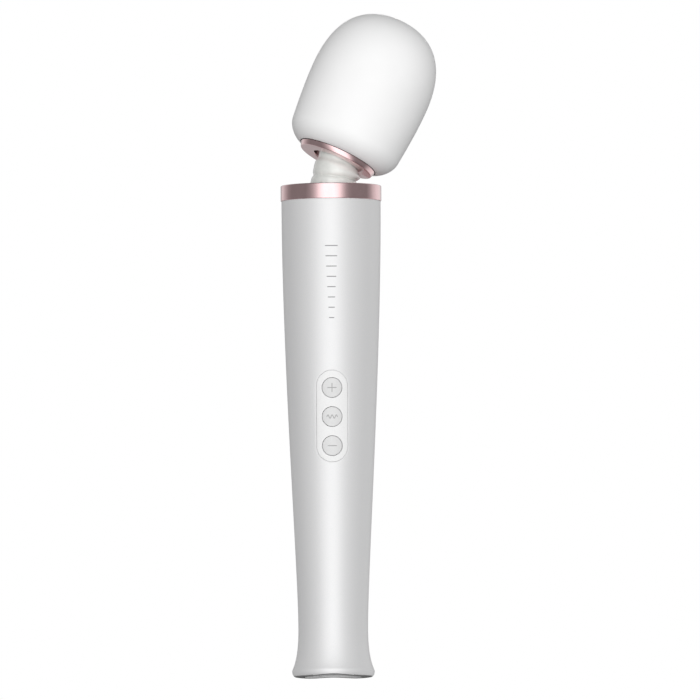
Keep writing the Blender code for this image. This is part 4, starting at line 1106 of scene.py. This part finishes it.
def coil_half(name, tree, place, start, ball):
    """A half of the coupling along its own line: the coil, and the core that ends at the pivot."""
    length = -COIL_SHORT - start
    carrier = bpy.data.objects.new(f"{name}_carrier", bpy.data.meshes.new(f"{name}_carrier"))
    bpy.context.scene.collection.objects.link(carrier)
    sweep = carrier.modifiers.new("coil", "NODES")
    sweep.node_group = tree
    inputs = {"Turns": length / COIL_PITCH, "Length": length, "Material": TURNED_STEEL}
    for item in tree.interface.items_tree:
        if item.in_out == "INPUT":
            sweep[item.identifier] = inputs.get(item.name) or item.default_value
    depsgraph = bpy.context.evaluated_depsgraph_get()
    mesh = bpy.data.meshes.new_from_object(carrier.evaluated_get(depsgraph), depsgraph=depsgraph)
    bpy.data.objects.remove(carrier)
    shape = bmesh.new()
    shape.from_mesh(mesh)
    bmesh.ops.translate(shape, verts=shape.verts, vec=(0, 0, start))
    turns = [math.tau * i / 20 for i in range(20)]
    tip = round_points((0, 0), ball, -60, 90, 10)
    outline = [(1e-6, start), (CORE_RADIUS, start), (CORE_RADIUS, tip[0][1]), *tip[:-1], (1e-6, ball)]
    core = [[Vector((r * math.cos(t), r * math.sin(t), z)) for t in turns] for r, z in outline]
    grid_faces(shape, core, around=True)
    shape.transform(place)
    return dress(finished(name, shape, 40.0, 1e-6), TURNED_STEEL)


spring = coil_tree()
lower_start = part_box("coupling_hub_lower")[1].z - HUB_GRIP - PIVOT.z
upper_hub = frame["nodes"]["coupling_hub_upper"].data.vertices
hub_low = min((vert.co - PIVOT).dot(HEAD_AXIS) for vert in upper_hub)
FLIP = Matrix.Rotation(math.pi, 4, "X")
lower_coil = coil_half("coupling_coil_lower", spring, Matrix.Translation(PIVOT), lower_start, CORE_BALL)
upper_coil = coil_half(
    "coupling_coil_upper", spring, HEAD @ FLIP, -(hub_low + HUB_GRIP), CORE_RADIUS
)
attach(lower_coil, "rotor")
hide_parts("drive_coupling")
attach(upper_coil, "weight")
finish_nodes(TURNED_STEEL, "coupling_hub_lower", "coupling_hub_upper")

# Inside the head a two-part core of dark ABS carries the silicone. A bearing plate and bridge hold the
# shaft of a sintered steel eccentric weight, and three screws hold the ring.


def sintered_steel():
    """Pressed and sintered steel: dark, dull, with open pores drawn 0.5 mm across so that they show."""
    material, tree, shader, place = new_material("cast_steel", {"Metallic": 1.0, "Roughness": 0.55})
    pores = node(tree, "ShaderNodeTexVoronoi", {"Vector": place, "Scale": 2000})
    bump = node(
        tree,
        "ShaderNodeBump",
        {"Height": pores.outputs["Distance"], "Strength": 0.4, "Distance": 0.05 * MM},
    )
    tree.links.new(bump.outputs["Normal"], shader.inputs["Normal"])
    tinted(tree, shader, place, "6E6E71", "7C7C80", 700)
    return material


finish_nodes(DARK_ABS, "head_core_lower", "head_core_upper")
finish_nodes(TURNED_STEEL, "bearing_plate", "bearing_bridge", "bearing_lower", "bearing_upper")
finish_nodes(TURNED_STEEL, "weight_shaft")
finish_nodes(TURNED_STEEL, "head_screw_front", "head_screw_left", "head_screw_right")
finish_nodes(sintered_steel(), "eccentric_weight")

# Stage: a plain pale floor that is seen from above only, soft studio light with a tall front panel and
# darker flags at the sides, and the camera, a long lens a little under the horizon.
FLOOR_DROP = 0.5 * MM


def stage_floor():
    shape = bmesh.new()
    bmesh.ops.create_grid(shape, x_segments=1, y_segments=1, size=3.0)
    for vert in shape.verts:
        vert.co.z = -FLOOR_DROP
    floor = finished("floor", shape)
    if floor.data.polygons[0].normal.z < 0:
        floor.data.flip_normals()
    values = {
        "Roughness": 0.9,
        "Emission Color": (1, 1, 1, 1),
        "Emission Strength": 0.55,
    }
    material, tree, shader, place = new_material("floor_paper", values)
    tinted(tree, shader, place, "F2F2F2", "F6F6F6", 8)
    under = node(tree, "ShaderNodeBsdfTransparent")
    back = node(tree, "ShaderNodeNewGeometry")
    mix = node(
        tree,
        "ShaderNodeMixShader",
        {
            "Fac": back.outputs["Backfacing"],
            1: shader.outputs["BSDF"],
            2: under.outputs["BSDF"],
        },
    )
    tree.links.new(mix.outputs["Shader"], tree.nodes["Material Output"].inputs["Surface"])
    dress(floor, material)
    floor.visible_glossy = False
    floor.visible_diffuse = False
    floor.visible_shadow = False


# Brightness of the studio in reflections by bearing, in degrees from the front towards +X.
STUDIO_LEVELS = (
    (-180, 0.45),
    (-165, 0.45),
    (-147, 0.80),
    (-128, 0.50),
    (-114, 0.31),
    (-102, 0.24),
    (-60, 0.25),
    (-50, 0.34),
    (-42, 0.52),
    (-35, 0.78),
    (-28, 1.20),
    (-21, 1.55),
    (-14, 1.70),
    (7, 1.70),
    (14, 1.52),
    (21, 1.20),
    (28, 0.75),
    (35, 0.44),
    (42, 0.31),
    (50, 0.26),
    (90, 0.25),
    (102, 0.42),
    (114, 0.70),
    (128, 0.90),
    (147, 0.95),
    (165, 0.60),
    (180, 0.45),
)
# The same by elevation, as a share, and the even light that matte surfaces get.
STUDIO_BY_HEIGHT = (
    (-90, 0.35),
    (-55, 0.60),
    (-38, 0.95),
    (-20, 1.00),
    (20, 1.00),
    (32, 0.90),
    (55, 0.40),
    (90, 0.30),
)
FILL_BY_HEIGHT = ((-90, 0.06), (-30, 0.28), (0, 0.47), (30, 0.45), (60, 0.28), (90, 0.18))


def angle_ramp(tree, angle, first, last, table):
    """The value that a table of (degrees, value) gives for an angle in radians."""
    share = node(
        tree,
        "ShaderNodeMapRange",
        {"Value": angle, "From Min": math.radians(first), "From Max": math.radians(last)},
    )
    ramp = node(tree, "ShaderNodeValToRGB", {"Fac": share.outputs["Result"]})
    stops = ramp.color_ramp
    top = max(value for _, value in table)
    while len(stops.elements) < len(table):
        stops.elements.new(0.5)
    for stop, (degrees, _) in zip(stops.elements, table):
        stop.position = (degrees - first) / (last - first)
    for stop, (_, value) in zip(stops.elements, table):
        stop.color = (value / top, value / top, value / top, 1)
    return node(tree, "ShaderNodeMath", {0: ramp.outputs["Color"], 1: top}, operation="MULTIPLY").outputs[0]


def studio():
    world = bpy.data.worlds.new("studio")
    bpy.context.scene.world = world
    world.use_nodes = True
    tree = world.node_tree
    tree.nodes.clear()
    way = node(tree, "ShaderNodeTexCoord").outputs["Generated"]
    parts = node(tree, "ShaderNodeSeparateXYZ", {"Vector": way})
    front = node(tree, "ShaderNodeMath", {0: parts.outputs["Y"], 1: -1.0}, operation="MULTIPLY")
    bearing = node(tree, "ShaderNodeMath", {0: parts.outputs["X"], 1: front.outputs[0]}, operation="ARCTAN2")
    height = node(tree, "ShaderNodeMath", {0: parts.outputs["Z"]}, operation="ARCSINE")
    around = angle_ramp(tree, bearing.outputs[0], -180, 180, STUDIO_LEVELS)
    upward = angle_ramp(tree, height.outputs[0], -90, 90, STUDIO_BY_HEIGHT)
    level = node(tree, "ShaderNodeMath", {0: around, 1: upward}, operation="MULTIPLY").outputs[0]
    fill = angle_ramp(tree, height.outputs[0], -90, 90, FILL_BY_HEIGHT)
    mirrored = node(tree, "ShaderNodeBackground", {"Color": (1, 1, 1, 1), "Strength": level})
    soft = node(tree, "ShaderNodeBackground", {"Color": (1, 1, 1, 1), "Strength": fill})
    seen = node(tree, "ShaderNodeBackground", {"Color": (1, 1, 1, 1), "Strength": 1.0})
    path = node(tree, "ShaderNodeLightPath")
    lit = node(
        tree,
        "ShaderNodeMixShader",
        {
            "Fac": path.outputs["Is Glossy Ray"],
            1: soft.outputs["Background"],
            2: mirrored.outputs["Background"],
        },
    )
    mix = node(
        tree,
        "ShaderNodeMixShader",
        {
            "Fac": path.outputs["Is Camera Ray"],
            1: lit.outputs["Shader"],
            2: seen.outputs["Background"],
        },
    )
    out = node(tree, "ShaderNodeOutputWorld")
    tree.links.new(mix.outputs["Shader"], out.inputs["Surface"])


def soft_key(name, bearing, elevation, strength, spread):
    """A distant soft light from a bearing, which lights the surfaces but isn't mirrored in them."""
    light = bpy.data.lights.new(name, "SUN")
    light.energy = strength
    light.angle = math.radians(spread)
    lamp = bpy.data.objects.new(name, light)
    a, e = math.radians(bearing), math.radians(elevation)
    back = Vector((math.sin(a) * math.cos(e), -math.cos(a) * math.cos(e), math.sin(e)))
    lamp.rotation_euler = back.to_track_quat("Z", "Y").to_euler()
    lamp.visible_glossy = False
    bpy.context.scene.collection.objects.link(lamp)


CAMERA_AWAY = 12.0
SENSOR = 36.0
FIELD = 0.350  # width of the picture at the object
CAMERA_BEARING = 0.0
CAMERA_RISE = -3.7
CAMERA_ROLL = -0.3
AIM = Vector((0, 0, 163.8 * MM))
SIDE_SHIFT = 0.026  # of the picture's width


def long_camera():
    camera = bpy.data.cameras.new("camera")
    camera.sensor_width = SENSOR
    camera.lens = SENSOR * CAMERA_AWAY / FIELD
    camera.shift_x = SIDE_SHIFT
    camera.clip_start, camera.clip_end = 0.1, 100
    holder = bpy.data.objects.new("camera", camera)
    a, e = math.radians(CAMERA_BEARING), math.radians(CAMERA_RISE)
    back = Vector((math.sin(a) * math.cos(e), -math.cos(a) * math.cos(e), math.sin(e)))
    turn = back.to_track_quat("Z", "Y").to_matrix().to_4x4()
    roll = Matrix.Rotation(math.radians(CAMERA_ROLL), 4, "Z")
    holder.matrix_world = Matrix.Translation(AIM + back * CAMERA_AWAY) @ turn @ roll
    bpy.context.scene.collection.objects.link(holder)
    bpy.context.scene.camera = holder


stage_floor()
studio()
soft_key("front_key", 1, 0, 2.35, 24)
soft_key("back_key", 179, 15, 1.8, 24)
long_camera()
bpy.context.scene.view_settings.view_transform = "Standard"
